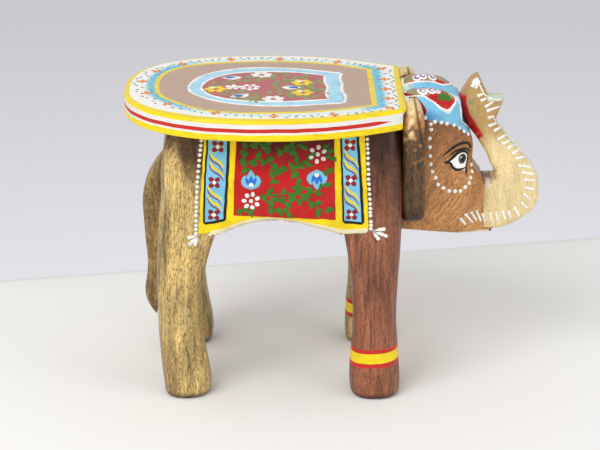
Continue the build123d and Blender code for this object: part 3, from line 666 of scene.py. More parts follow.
# ---- painted surfaces ------------------------------------------------------------------------------
class Surface:
    """A carved surface as a height map seen along one direction: its depth at even steps of u and v,
    and its slopes, read between the steps by two-way linear interpolation. The map is smoothed, but
    never sinks into the wood; widened, it keeps a step's greatest depth for the steps round it too."""

    FAR_OFF = 300.0  # where the falling sheet starts, and stays where it meets no wood
    STEP = 0.5
    FILL_STEPS = 60  # how far the map is carried on past the wood

    def __init__(self, pieces, across, up, toward, low, high, smoothing=3, widen=0):
        self.across, self.up, self.toward = (np.array(a, float) for a in (across, up, toward))
        self.low = np.array(low, float)
        u = np.arange(low[0], high[0] + self.STEP, self.STEP)
        v = np.arange(low[1], high[1] + self.STEP, self.STEP)
        depth = self.carried_on(self.measure(pieces, u, v))
        for _ in range(widen):
            padded = np.pad(depth, 1, mode="edge")
            windows = np.lib.stride_tricks.sliding_window_view(padded, (3, 3))
            depth = windows.max((2, 3))
        measured = depth
        for _ in range(smoothing):
            padded = np.pad(np.maximum(depth, measured), 1, mode="edge")
            depth = (
                padded[:-2, 1:-1] + padded[2:, 1:-1] + padded[1:-1, :-2] + padded[1:-1, 2:] + 2 * depth
            ) / 6
        depth = np.maximum(depth, measured)
        slope_u, slope_v = np.gradient(depth, self.STEP)
        self.maps = np.stack([depth, slope_u, slope_v], 2)

    def carried_on(self, depth):
        """Fills what the sheet missed, step by step, with the mean of the neighbours it has found."""
        missed = depth > self.FAR_OFF - 1
        for _ in range(self.FILL_STEPS):
            if not missed.any():
                break
            known = np.where(missed, np.nan, depth)
            shifts = [np.roll(known, shift, axis) for shift in (1, -1) for axis in (0, 1)]
            near = np.nanmean(np.array([*shifts, np.full_like(depth, np.nan)]), axis=0)
            filled = missed & ~np.isnan(near)
            depth = np.where(filled, near, depth)
            missed = missed & ~filled
        depth[missed] = np.median(depth[~missed])
        return depth

    def measure(self, pieces, u, v):
        """Lays a flat sheet over the pieces and lets it fall on them along the map's direction."""
        side = np.cross(self.up, self.toward)
        handed = float(np.dot(side, self.across))
        grid_u, grid_v = np.meshgrid(u * handed, v, indexing="ij")
        points = np.stack([grid_u, grid_v, np.full_like(grid_u, self.FAR_OFF)], 2).reshape(-1, 3)
        quads = grid_quads(np.arange(len(points)).reshape(grid_u.shape))
        sheet = put_in_scene("falling_sheet", mesh_from_quads("falling_sheet", points, quads))
        turn = Matrix((tuple(side), tuple(self.up), tuple(self.toward))).transposed()
        sheet.matrix_world = turn.to_4x4()
        target = joined_copy(pieces)
        fall = sheet.modifiers.new("fall", "SHRINKWRAP")
        fall.wrap_method = "PROJECT"
        fall.use_project_z = True
        fall.use_positive_direction = False
        fall.use_negative_direction = True
        fall.target = target
        mesh = finished_mesh(sheet)
        depth = points_of(mesh)[:, 2].reshape(grid_u.shape)
        bpy.data.meshes.remove(mesh)
        remove_piece(sheet)
        remove_piece(target)
        return depth

    def place(self, u, v, lift):
        """Points on the surface at u, v, raised along its normal by the lift."""
        share_u = np.clip((u - self.low[0]) / self.STEP, 0, self.maps.shape[0] - 1.001)
        share_v = np.clip((v - self.low[1]) / self.STEP, 0, self.maps.shape[1] - 1.001)
        i, j = share_u.astype(int), share_v.astype(int)
        a, b = (share_u - i)[..., None], (share_v - j)[..., None]
        maps = self.maps
        read = (1 - a) * ((1 - b) * maps[i, j] + b * maps[i, j + 1]) + a * (
            (1 - b) * maps[i + 1, j] + b * maps[i + 1, j + 1]
        )
        normal = self.toward - read[..., 1:2] * self.across - read[..., 2:3] * self.up
        normal /= np.linalg.norm(normal, axis=-1, keepdims=True)
        point = u[..., None] * self.across + v[..., None] * self.up + read[..., :1] * self.toward
        return point + normal * lift[..., None], normal


class Plane:
    """A flat painted face, with the same calls as a Surface."""

    across, up = np.array([1.0, 0, 0]), np.array([0, 1.0, 0])

    def __init__(self, height):
        self.height = height

    def place(self, u, v, lift):
        """Points at u, v on the face, raised by the lift."""
        normal = np.zeros(u.shape + (3,))
        normal[..., 2] = 1
        return np.stack([u, v, self.height + lift], -1), normal


def joined_copy(pieces):
    """One throwaway object with the meshes of all the pieces."""
    form = bmesh.new()
    for piece in pieces:
        form.from_mesh(piece.data)
    mesh = bpy.data.meshes.new("guide")
    form.to_mesh(mesh)
    form.free()
    return put_in_scene("guide", mesh)


def flowing(points, count=24):
    """A smooth path through the points: a Catmull-Rom curve, the cubic that leaves each point along
    the line between its neighbours, sampled at even shares."""
    points = np.asarray(points, float)
    padded = np.concatenate([[2 * points[0] - points[1]], points, [2 * points[-1] - points[-2]]])
    lengths = np.concatenate([[0], np.cumsum(np.linalg.norm(np.diff(points, axis=0), axis=1))])
    place = np.interp(np.linspace(0, lengths[-1], count), lengths, np.arange(len(points)))
    run = np.clip(place.astype(int), 0, len(points) - 2)
    t = (place - run)[:, None]
    p0, p1, p2, p3 = (padded[run + k] for k in range(4))
    return 0.5 * (
        2 * p1 + (p2 - p0) * t + (2 * p0 - 5 * p1 + 4 * p2 - p3) * t**2 + (3 * p1 - p0 - 3 * p2 + p3) * t**3
    )


class Brush:
    """Strokes of enamel laid on one surface and gathered into one piece. Each stroke is a grid of
    points; its crown makes it stand up in the middle as wet paint does."""

    def __init__(self, surface, wobble=0.18):
        self.surface, self.wobble = surface, wobble
        self.points, self.quads, self.slots, self.colours, self.total = [], [], [], [], 0

    def lay(self, u, v, crown, colour, lift):
        """Lays a grid of points on the surface at u, v, raised by the lift plus the crown, with the
        hand's wobble in both directions."""
        u = np.asarray(u, float)
        v = np.asarray(v, float)
        flat = np.stack([u, v, np.zeros_like(u)], -1).reshape(-1, 3)
        shaky = self.wobble * rolling(flat, 7.0, seed=11, waves=12).reshape(u.shape)
        unsteady = self.wobble * rolling(flat, 7.0, seed=12, waves=12).reshape(u.shape)
        place, normal = self.surface.place(u + shaky, v + unsteady, lift + np.zeros_like(u) + crown)
        rows, columns = u.shape
        number = self.total + np.arange(rows * columns).reshape(rows, columns)
        turn = np.cross(place[1:, :-1] - place[:-1, :-1], place[:-1, 1:] - place[:-1, :-1])
        quads = grid_quads(number, flipped=(turn * normal[:-1, :-1]).sum() < 0)
        if colour not in self.colours:
            self.colours.append(colour)
        self.points.append(place.reshape(-1, 3))
        self.quads.append(quads)
        self.slots.append(np.full(len(quads), self.colours.index(colour)))
        self.total += rows * columns

    def dab(self, centre, radius, colour, crown=0.35, lift=0.3, stretch=1.0, turn=0.0):
        """A round dab: the square (s, t) becomes the disc (s sqrt(1 - t t / 2), t sqrt(1 - s s / 2)),
        turned into the plane that touches the surface there."""
        s, t = np.meshgrid(np.linspace(-1, 1, 6), np.linspace(-1, 1, 6), indexing="ij")
        x, y = s * np.sqrt(1 - t**2 / 2), t * np.sqrt(1 - s**2 / 2)
        height = crown * (1 - x**2 - y**2)
        x, y = x * radius * stretch, y * radius
        x, y = x * np.cos(turn) - y * np.sin(turn), x * np.sin(turn) + y * np.cos(turn)
        _, normal = self.surface.place(np.array([centre[0]]), np.array([centre[1]]), np.zeros(1))
        across, up = self.surface.across, self.surface.up
        first = across - np.dot(across, normal[0]) * normal[0]
        first /= np.linalg.norm(first)
        second = np.cross(normal[0], first)
        second *= np.sign(np.dot(second, up))
        u = centre[0] + x * np.dot(first, across) + y * np.dot(second, across)
        v = centre[1] + x * np.dot(first, up) + y * np.dot(second, up)
        self.lay(u, v, height, colour, lift)

    def ribbon(self, path, half_widths, colour, crown, lift):
        """A band along a path: each row is the path's point plus and minus the half width along the
        path's normal; the crown falls off as 1 - c c across it."""
        along = np.gradient(path, axis=0)
        along /= np.linalg.norm(along, axis=1, keepdims=True) + 1e-9
        normal = np.stack([-along[:, 1], along[:, 0]], 1)
        c = np.linspace(-1, 1, 5)
        spread = half_widths[:, None] * c
        height = crown * (1 - c**2) * np.clip(half_widths / (half_widths.max() + 1e-9), 0, 1)[:, None]
        self.lay(
            path[:, :1] + spread * normal[:, :1], path[:, 1:] + spread * normal[:, 1:], height, colour, lift
        )

    def line(self, points, width, colour, crown=0.2, lift=0.3, count=24, start=1.0, end=1.0):
        """A drawn line with round ends; start and end are the shares of the width kept there."""
        path = flowing(points, count)
        length = np.concatenate([[0], np.cumsum(np.linalg.norm(np.diff(path, axis=0), axis=1))])
        share = length / length[-1]
        taper = start + (1 - start) * np.minimum(1, share * 3)
        taper = taper * (end + (1 - end) * np.minimum(1, (1 - share) * 3))
        from_end = np.minimum(length, length[-1] - length)
        cap = np.sqrt(np.clip(1 - np.clip(1 - from_end / (width / 2), 0, 1) ** 2, 0.01, 1))
        self.ribbon(path, width / 2 * taper * cap, colour, crown, lift)

    def petal(self, base, tip, width, colour, crown=0.3, lift=0.3, blunt=1.5, bend=0.0):
        """A petal or leaf: half width sin(pi t ** blunt) along the axis, which bends by a sine."""
        base, tip = np.asarray(base, float), np.asarray(tip, float)
        t = np.linspace(0, 1, 8)[:, None]
        axis = tip - base
        side = np.array([-axis[1], axis[0]])
        path = base + axis * t + side * bend * np.sin(np.pi * t)
        profile = np.sin(np.pi * np.clip(t[:, 0], 0.003, 0.997) ** blunt)
        self.ribbon(path, width / 2 * profile, colour, crown, lift)

    def blossom(self, centre, reach, count, colour, petal_radius, heart, heart_radius, turn=0.0, lift=0.3):
        """Round petals on a circle, with a round heart."""
        for k in range(count):
            angle = turn + 2 * np.pi * k / count
            away = (centre[0] + reach * np.cos(angle), centre[1] + reach * np.sin(angle))
            self.dab(away, petal_radius, colour, lift=lift, stretch=1.2, turn=angle)
        self.dab(centre, heart_radius, heart, lift=lift + 0.08)

    def sprig(self, stem, leaves, length, width, colour, seed, lift, stem_width):
        """A stem with leaves that leave it by turns to the left and to the right."""
        random = np.random.default_rng(seed)
        path = flowing(stem, 40)
        self.line(stem, stem_width, colour, lift=lift, end=0.4)
        for k in range(leaves):
            at = int((k + 0.6) / leaves * 38)
            along = path[at + 1] - path[at]
            angle = np.arctan2(along[1], along[0]) + (1 if k % 2 else -1) * random.uniform(0.6, 1.05)
            reach = length * random.uniform(0.75, 1.15)
            tip = path[at] + reach * np.array([np.cos(angle), np.sin(angle)])
            bend = random.uniform(-0.2, 0.2)
            self.petal(path[at], tip, width * random.uniform(0.8, 1.2), colour, lift=lift, blunt=0.9, bend=bend)

    def area(self, edge_a, edge_b, colour, lift, rows, columns):
        """An even coat between two smooth edges: (1 - t) a + t b."""
        a, b = flowing(edge_a, columns), flowing(edge_b, columns)
        t = np.linspace(0, 1, rows)[:, None]
        u = a[:, 0] * (1 - t) + b[:, 0] * t
        v = a[:, 1] * (1 - t) + b[:, 1] * t
        self.lay(u, v, np.zeros((rows, columns)), colour, lift)

    def finish(self, name, thickness=0.3):
        """All the strokes as one piece, a coat of paint of the given thickness in millimetres."""
        mesh = mesh_from_quads(
            name, np.concatenate(self.points), np.concatenate(self.quads),
            [MATERIALS[colour] for colour in self.colours], np.concatenate(self.slots),
        )
        piece = put_in_scene(name, mesh)
        coat = piece.modifiers.new("coat", "SOLIDIFY")
        coat.thickness = thickness * MM
        coat.offset = -1
        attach(piece, "root")
        return piece


# ---- seat board ------------------------------------------------------------------------------------
SEAT_WIDEST_AT = 102.5  # from the rear end to the widest place
SEAT_OVAL_POWER = 2.34
SEAT_FAR_POWER = 2.6  # the far rear quarter is fuller
SEAT_FAR_SWELL = 3.0
SEAT_LIP = 2.8  # how far the top stands out over the head and ears
SEAT_POINTS_ROUND = 400
SEAT_FRONT_WIDTH = 109.0
SEAT_EASE = 2.0  # rounding of the upper edge
SEAT_LOWER_EASE = 1.2
SEAT_COAT = 0.15  # ground and paint over the board and its plugs


def half_outline(power, swell):
    """One long side of the board from its front end to its rear end: straight, then a parabola, then an
    oval of the given power."""
    half = (SEAT_HIGH[1] - SEAT_LOW[1]) / 2 + swell
    widest = SEAT_LOW[0] + SEAT_WIDEST_AT
    turn = np.linspace(0, np.pi / 2, 400)
    rear = np.stack(
        [widest - SEAT_WIDEST_AT * np.sin(turn) ** (2 / power), half * np.cos(turn) ** (2 / power)], 1
    )
    share = np.linspace(1, 0, 200)[:-1, None]
    draw_in = half - SEAT_FRONT_WIDTH / 2
    side = np.hstack([widest + (SEAT_HIGH[0] - widest) * share, half - draw_in * share**2])
    end = np.stack([np.full(60, SEAT_HIGH[0]), np.linspace(0, SEAT_FRONT_WIDTH / 2, 61)[:-1]], 1)
    return np.concatenate([end, side, rear])


def seat_outline(count):
    """Points round the board at even distances."""
    far = half_outline(SEAT_FAR_POWER, SEAT_FAR_SWELL)
    near = half_outline(SEAT_OVAL_POWER, 0.0)
    whole = np.concatenate([far, near[-2::-1] * [1, -1]])
    length = np.concatenate([[0], np.cumsum(np.linalg.norm(np.diff(whole, axis=0), axis=1))])
    steps = np.linspace(0, length[-1], count + 1)[:-1]
    return np.stack([np.interp(steps, length, whole[:, 0]), np.interp(steps, length, whole[:, 1])], 1)


def seat_rings(outline):
    """Rings of the board from the middle of its underside, round its eased edges, to the middle of its
    top. A ring lies between the outline and the spine, the nearest points of the board's middle line:
    outline + (spine - outline) * share; an eased corner is a quarter of a circle."""
    spine_start, spine_end = SEAT_LOW[0] + 75, SEAT_HIGH[0] - 50
    spine = np.stack([np.clip(outline[:, 0], spine_start, spine_end), 0 * outline[:, 1]], 1)
    inward = spine - outline
    inward_length = np.linalg.norm(inward, axis=1, keepdims=True)
    turn = np.linspace(0, np.pi / 2, 5)
    bottom, top = SEAT_LOW[2], SEAT_HIGH[2] + SEAT_COAT
    profile = [(share, bottom) for share in np.linspace(1, 0.08, 6)]
    edge = [(SEAT_LOWER_EASE * (1 - np.sin(a)), bottom + SEAT_LOWER_EASE * (1 - np.cos(a))) for a in turn]
    edge += [(0.0, z) for z in np.linspace(bottom + 3, top - 3.5, 6)]
    edge += [(SEAT_EASE * (1 - np.cos(a)), top - SEAT_EASE * (1 - np.sin(a))) for a in turn]
    rings = [(outline + inward * share, z) for share, z in profile]
    rings += [(outline + inward / inward_length * inset, z) for inset, z in edge]
    start = SEAT_EASE / inward_length
    rings += [(outline + inward * (start + (1 - start) * share), top) for share in np.linspace(0.015, 1, 58)]
    return rings


# ---- stage -----------------------------------------------------------------------------------------
class STOOL_OT_stage(bpy.types.Operator):
    """Camera, table cloth, and soft light from the left and above."""

    bl_idname = "stool.stage"
    bl_label = "Stage"

    def execute(self, context):
        stage = context.scene.stool_stage
        lens = bpy.data.cameras.new("camera")
        lens.lens = stage.lens
        lens.sensor_width = 36.0
        camera = bpy.data.objects.new("camera", lens)
        context.scene.collection.objects.link(camera)
        camera.location = stage.eye
        camera.rotation_euler = (np.pi / 2 - stage.pitch, 0, stage.turn)
        context.scene.camera = camera
        context.scene.view_settings.view_transform = "Standard"
        self.lay_cloth(stage)
        self.hang_lights(stage)
        self.light_world(context.scene, stage)
        return {"FINISHED"}

    def lay_cloth(self, stage):
        """A flat sheet with a rounded far edge: z = sqrt(r^2 - d^2) - r, d past the line where the edge
        of radius r begins."""
        columns, rows = 57, 60
        half_width, nearest, radius = 1400, -1500, 60.0
        along, out = np.meshgrid(
            np.linspace(-half_width, half_width, columns), np.linspace(0, 1, rows), indexing="ij"
        )
        edge = 208 + 0.19 * along
        deepest = 0.999 * radius
        reach = nearest + out * (edge - nearest + deepest)
        past = np.clip(reach - edge, 0, deepest)
        height = np.sqrt(radius**2 - past**2) - radius
        points = np.stack([along, reach, height], 2).reshape(-1, 3)
        quads = grid_quads(np.arange(columns * rows).reshape(columns, rows))
        material, tree, shader = new_material("plain_table_cloth")
        place = add_node(tree, "TexCoord").outputs["Object"]
        weave = add_node(tree, "TexNoise", {"Vector": place, "Scale": 1 / (2.5 * MM), "Detail": 2.0})
        relief = add_node(tree, "Bump", {"Height": weave.outputs["Fac"], "Strength": 0.2, "Distance": 0.3 * MM})
        tree.links.new(relief.outputs["Normal"], shader.inputs["Normal"])
        shader.inputs["Base Color"].default_value = opaque(stage.cloth)
        shader.inputs["Roughness"].default_value = 0.9
        shader.inputs["Specular IOR Level"].default_value = 0.2
        cloth = put_in_scene("table_cloth", mesh_from_quads("table_cloth", points, quads, [material]))

    def hang_lights(self, stage):
        """Two square soft lights that face the stool: each one's place, size and power."""
        lamps = {
            "key_light": ((-0.75, -1.05, 1.35), 1.1, stage.key_power),
            "fill_light": ((1.3, -0.9, 0.7), 0.9, stage.fill_power),
        }
        for name, (place, size, power) in lamps.items():
            data = bpy.data.lights.new(name, "AREA")
            data.shape = "SQUARE"
            data.size = size
            data.energy = power
            lamp = bpy.data.objects.new(name, data)
            bpy.context.scene.collection.objects.link(lamp)
            lamp.location = place
            aim = Vector((0, 0, 0.1)) - Vector(place)
            lamp.rotation_euler = aim.to_track_quat("-Z", "Y").to_euler()

    def light_world(self, scene, stage):
        """The camera, and rays that pass through surfaces, see the wall's colour; all else gets plain soft light."""
        world = bpy.data.worlds.new("soft_room")
        world.use_nodes = True
        tree = world.node_tree
        tree.nodes.clear()
        path = add_node(tree, "LightPath")
        soft = add_node(tree, "Background", {"Color": (1, 1, 1, 1), "Strength": stage.sky})
        direction = add_node(tree, "SeparateXYZ", {"Vector": add_node(tree, "TexCoord").outputs["Generated"]})
        lower = add_node(tree, "MapRange", {"Value": direction.outputs["Z"], "From Min": -0.25, "From Max": -0.35})
        tint = add_node(
            tree, "Mix", {"Factor": lower.outputs["Result"], 6: opaque(stage.wall_high), 7: opaque(stage.wall_low)},
            data_type="RGBA",
        )
        wall = add_node(tree, "Background", {"Color": tint.outputs[2], "Strength": 1.0})
        seen = add_node(
            tree, "Math", {0: path.outputs["Is Camera Ray"], 1: path.outputs["Is Transmission Ray"]},
            operation="MAXIMUM",
        )
        mix = add_node(tree, "MixShader", {0: seen.outputs[0], 1: soft.outputs[0], 2: wall.outputs[0]})
        output = add_node(tree, "OutputWorld")
        tree.links.new(mix.outputs[0], output.inputs["Surface"])
        scene.world = world


# ---- shapes and coats of the carved pieces ---------------------------------------------------------
# lower edge of the painted cap in side view: x and height
CAP_EDGE = [
    (46.0, 206.5), (55.0, 204.0), (60.0, 196.0), (63.7, 191.6), (68.4, 190.3), (72.9, 189.4), (76.8, 188.1),
    (82.0, 185.8), (85.9, 182.8), (89.3, 179.7), (92.4, 176.9),
]
# the paisley on each dome seen from above: x and the distance from the middle
PAISLEY = [
    (49.0, 5.5), (61.0, 5.5), (70.0, 6.0), (78.0, 9.5), (82.6, 15.0), (83.2, 21.6), (80.5, 27.3), (77.4, 30.2),
    (72.4, 31.0), (68.5, 29.9), (64.7, 28.6), (60.9, 26.5), (56.1, 25.5), (49.0, 24.0),
]
BAND_RIGHT, BAND_LEFT = 29.5, 27.5  # height of the middle of the painted band round each front leg
BAND_HALF = 6.6
# inner edge of the trunk in side view: height and x
TRUNK_INNER = [
    (148.0, 112.0), (156.0, 108.7), (164.0, 105.8), (172.0, 101.5), (180.0, 96.8), (188.0, 91.8), (196.0, 90.0),
    (214.0, 91.5),
]
UNPAINTED = -9.0  # a field's value where its coat never comes


def paisley_outline(side, count):
    """The paisley on one dome as a smooth path; the far one stops higher on the inner slope."""
    outline = flowing(PAISLEY, count)
    return np.stack([outline[:, 0], side * np.maximum(outline[:, 1], 8.3 if side == FAR else 0)], 1)


def leg_fields(points, normals):
    """Painted shade under the seat and on the faces that turn to the front and back, a darker rim at
    the foot, and the depth inside the leg's painted band.
    """
    x, y, z = points.T
    middle = np.where(y < 0, BAND_RIGHT, BAND_LEFT) + 0.05 * (x - 28.5)
    # painted shade: darker up towards the seat, and on the faces that turn to the front and back; the foot's rim is
    # darker too
    front = ramp(z + 8 * rolling(points, 26.0, seed=3), 88, 160) * (0.72 + 0.28 * ramp(z, 160, 186))
    hind = np.maximum(ramp(z, 136, 176) * ramp(x + 0.2 * (z - 170), -112, -98), 0.8 * ramp(z, 166, 188))
    turned = 0.42 * ramp(abs(normals[:, 0]), 0.6, 0.97)
    return {
        "stain": np.maximum(np.maximum(np.where(x > -40, front, hind), turned), 0.8 * ramp(-z, -7, -1)),
        "band": np.where(z < 60, BAND_HALF - abs(z - middle), UNPAINTED),
    }


def tail_fields(points, normals):
    """The tail is darker than the legs, most towards its edges."""
    return {"stain": 0.42 + 0.3 * ramp(-points[:, 0], 118, 134)}


def head_fields(points, normals):
    """The cap and its paisleys, as distances in millimetres from their edges, and painted shade higher up
    and back towards the ear.
    """
    x, y, z = points.T
    edge_x, edge_z = np.array(CAP_EDGE).T
    above_edge = z - np.interp(x, edge_x, edge_z)
    paisley = np.where(
        y < 0,
        depth_inside(points[:, :2], paisley_outline(NEAR, 60)),
        depth_inside(points[:, :2], paisley_outline(FAR, 60)),
    )
    over_dome = z > 190
    front = ((x - 65) + (abs(y) - 25)) / np.sqrt(2)
    red_side = np.where(y < 0, front, np.minimum(12.0 - y, x - 68))
    return {
        # painted shade: darker higher up and towards the back
        "dusk": 0.85 * ramp(z, 136, 185) + 0.5 * ramp(-x, -64, -50),
        "lip": np.where(x > 88, 107.2 - z, UNPAINTED),
        "cap": above_edge,
        "cap_deep": 0.8 * ramp(-z, -203, -193) * ramp(-x, -80, -64) * (above_edge > 0),
        "cap_pale": 0.9 * ramp(-x, -62, -50) * (z > 199),
        "paisley": np.where(over_dome, paisley, UNPAINTED),
        "paisley_red": np.where(over_dome, np.minimum(paisley, red_side), UNPAINTED),
        "paisley_line": np.where(over_dome, 0.62 - abs(paisley), UNPAINTED),
    }


def before_inner_edge(x, z):
    """How far in front of the trunk's inner edge a point lies, in side view."""
    heights, inner = np.array(TRUNK_INNER).T
    return x - np.interp(z, heights, inner)


def trunk_fields(points, normals):
    """Red rubbed on the inner side of the trunk, pale green on its lip, painted shade in the crook and low
    on the inner side, a painted highlight beside the glue seam, and painted shade higher up."""
    x, y, z = points.T
    before = before_inner_edge(x, z)
    ragged_height = z + 4 * rolling(points, 4.0, seed=8)
    red_edge = ramp(-before - 0.05 * (z - 180), -3.8, -1.6)
    # painted shade in the crook, and on the inner side low down
    crook = ramp(normals[:, 2], 0.1, 0.5) * ramp(-z, -151, -145) * ramp(-x, -111.5, -109.5)
    inner_shade = ramp(-before, -3.0, -1.5) * np.exp(-(((z - 183) / 6) ** 2))
    return {
        # painted shade: darker higher up and on the inner side that faces the head
        "dusk": 0.95 * ramp(z, 160, 182) + 0.25 * ramp(-before, -7, -2),
        "red": red_edge * ramp(ragged_height, 168, 176) * ramp(-z, -204, -199),
        "pale_green": ramp(normals[:, 2], 0.35, 0.6) * ramp(x, 101, 104) * ramp(z, 190, 194),
        "shadow": 1.1 * crook + 0.8 * inner_shade,
        # a painted highlight beside the glue seam
        "blush": 0.85 * np.exp(-(((x - 107.8) / 2.8) ** 2) - ((z - 139.5) / 3.4) ** 2) * (abs(y) > 5),
    }


def ear_fields(points, normals):
    """Both ears: the near one golden above a mottled olive, with a painted highlight on its bulge, and darker
    low down and at its back edge; the far one pale; each darker along its groove.
    """
    x, y, z = points.T
    mottle = rolling(points, 5.0, seed=5)
    upper = 0.8 * ramp(z + 4 * mottle, 176, 200) + 0.4 * ramp(mottle, 0.2, 0.8) * ramp(z, 138, 172)
    groove = np.exp(-(((x - ear_groove(z)) / 1.1) ** 2)) * ramp(z, 172, 180)
    # a painted highlight on the near ear's bulge
    bulge = np.exp(-(((x - 51.0) / 2.4) ** 2) - ((z - 191) / 9) ** 2) * ramp(mottle, -0.6, 0.2)
    return {
        "golden": np.where(y < 0, upper, 0),
        "pale": np.where(y > 0, 0.8, 0.95 * bulge + 0.8 * ramp(z + 2 * mottle, 195, 205)),
        "stain": 0.9 * groove + np.where(y < 0, 0.6 * ramp(-z, -140, -126) + 0.4 * ramp(-x, -50, -47), 0),
    }


def ear_groove(z):
    """Where the groove in an ear's flat side lies: it runs from the crown down to the front edge."""
    return 55.4 + 0.18 * (200 - z)


def under_lip(points):
    """What stands under the seat's lip is cut down to its underside: z is at most 203.5 + 4 d d, where d
    is how far the point lies past the lip."""
    x, y, z = points.T
    past_lip = np.maximum(x - SEAT_HIGH[0] - 2.4, 0)
    return np.stack([x, y, np.minimum(z, 203.5 + 4 * past_lip**2)], 1)


def grooved_ear(points):
    """A groove runs down the flat side of the ear, and its crown is round: it drops by 0.09 d d towards
    the back and 0.24 d d towards the front of its highest place."""
    x, y, z = points.T
    depth = 1.8 * np.exp(-(((x - ear_groove(z)) / 1.4) ** 2)) * ramp(z, 176, 182)
    bulge = 1.2 * np.exp(-(((x - 50.5) / 4) ** 2) - ((z - 187) / 14) ** 2)
    outward = np.sign(y) * (bulge - depth) * ramp(abs(y), 36, 44)
    off = x - 54
    drop = np.where(off < 0, 0.09, 0.24) * off**2
    lowered = np.where(y < 0, 1.6 + drop, 0.35 * drop)
    wider = np.where(y < 0, 1.0 + 1.0 * ramp(-z, -180, -150), 0) * ramp(x, 54, 59)
    longer = np.where(y < 0, 4.0 * ramp(-z, -160, -132), 0)
    return under_lip(np.stack([x + wider, y + outward, z - lowered * ramp(z, 178, 206) - longer], 1))


def hanging_belly(points):
    """The arch between the legs hangs 2.3 mm lower on its front half."""
    x, y, z = points.T
    return np.stack([x, y, z - 2.3 * np.exp(-(((x + 14) / 22) ** 2)) * ramp(-z, -142, -128)], 1)


def splayed_foot(points):
    """The front of the near foot stands out by up to 3.5 mm at the floor."""
    x, y, z = points.T
    return np.stack([x, y - 3.5 * ramp(-z, -34, -2) * ramp(-y, 44, 66), z], 1)


def bowed_trunk(points):
    """The inner side of the trunk is bowed: it moves back by 3.2 (1 - 1.7 (y / 10)^2) where it faces the
    head, less with depth, and it fills the bottom of the crook."""
    x, y, z = points.T
    near_edge = np.exp(-((np.maximum(before_inner_edge(x, z), 0) / 6) ** 2))
    bow = 3.2 * ramp(z, 168, 181) * ramp(-z, -208, -197) * (1 - 1.7 * np.clip(y / 10, -1, 1) ** 2)
    bow = bow + 1.8 * np.exp(-(((z - 169) / 9) ** 2))
    moved = np.stack([x - bow * near_edge, y, z], 1)
    return pushed(moved, (118.6, 144.0), 4.6, (-5.5, 0, 0))


# each carved piece: its node, the spacing of its points in carving grids, its timber, the attributes that
# its coats follow, and what reshapes and smooths it
CARVED = {
    "carved_body": ("body_block", 1.2, "body", leg_fields, {"reshape": hanging_belly}),
    "carved_front_leg_right": (
        "front_leg_right", 1.0, "red_brown_banded", leg_fields, {"reshape": splayed_foot}
    ),
    "carved_front_leg_left": ("front_leg_left", 1.0, "golden_banded", leg_fields, {}),
    "carved_hind_leg_right": ("hind_leg_right", 1.0, "golden", leg_fields, {}),
    "carved_hind_leg_left": ("hind_leg_left", 1.0, "golden", leg_fields, {}),
    "carved_head": ("head_block", 0.8, "head", head_fields, {"reshape": under_lip, "smooth_above": 160}),
    "carved_trunk": ("trunk", 0.8, "trunk", trunk_fields, {"reshape": bowed_trunk}),
    "carved_ear_right": ("ear_right", 0.7, "ear", ear_fields, {"reshape": grooved_ear}),
    "carved_ear_left": ("ear_left", 0.7, "ear", ear_fields, {"reshape": grooved_ear}),
    "carved_tail": ("tail", 0.8, "golden", tail_fields, {}),
}


class STOOL_OT_carved_wood(bpy.types.Operator):
    """The carved wooden pieces: body, legs, head, trunk, ears and tail."""

    bl_idname = "stool.carved_wood"
    bl_label = "Carved wood"

    def execute(self, context):
        timber = context.scene.stool_timber
        make_materials()
        for name, (node, coarseness, material, fields, shaping) in CARVED.items():
            carved_copy(name, node, timber.grid * coarseness, material, fields, **shaping)
        return {"FINISHED"}


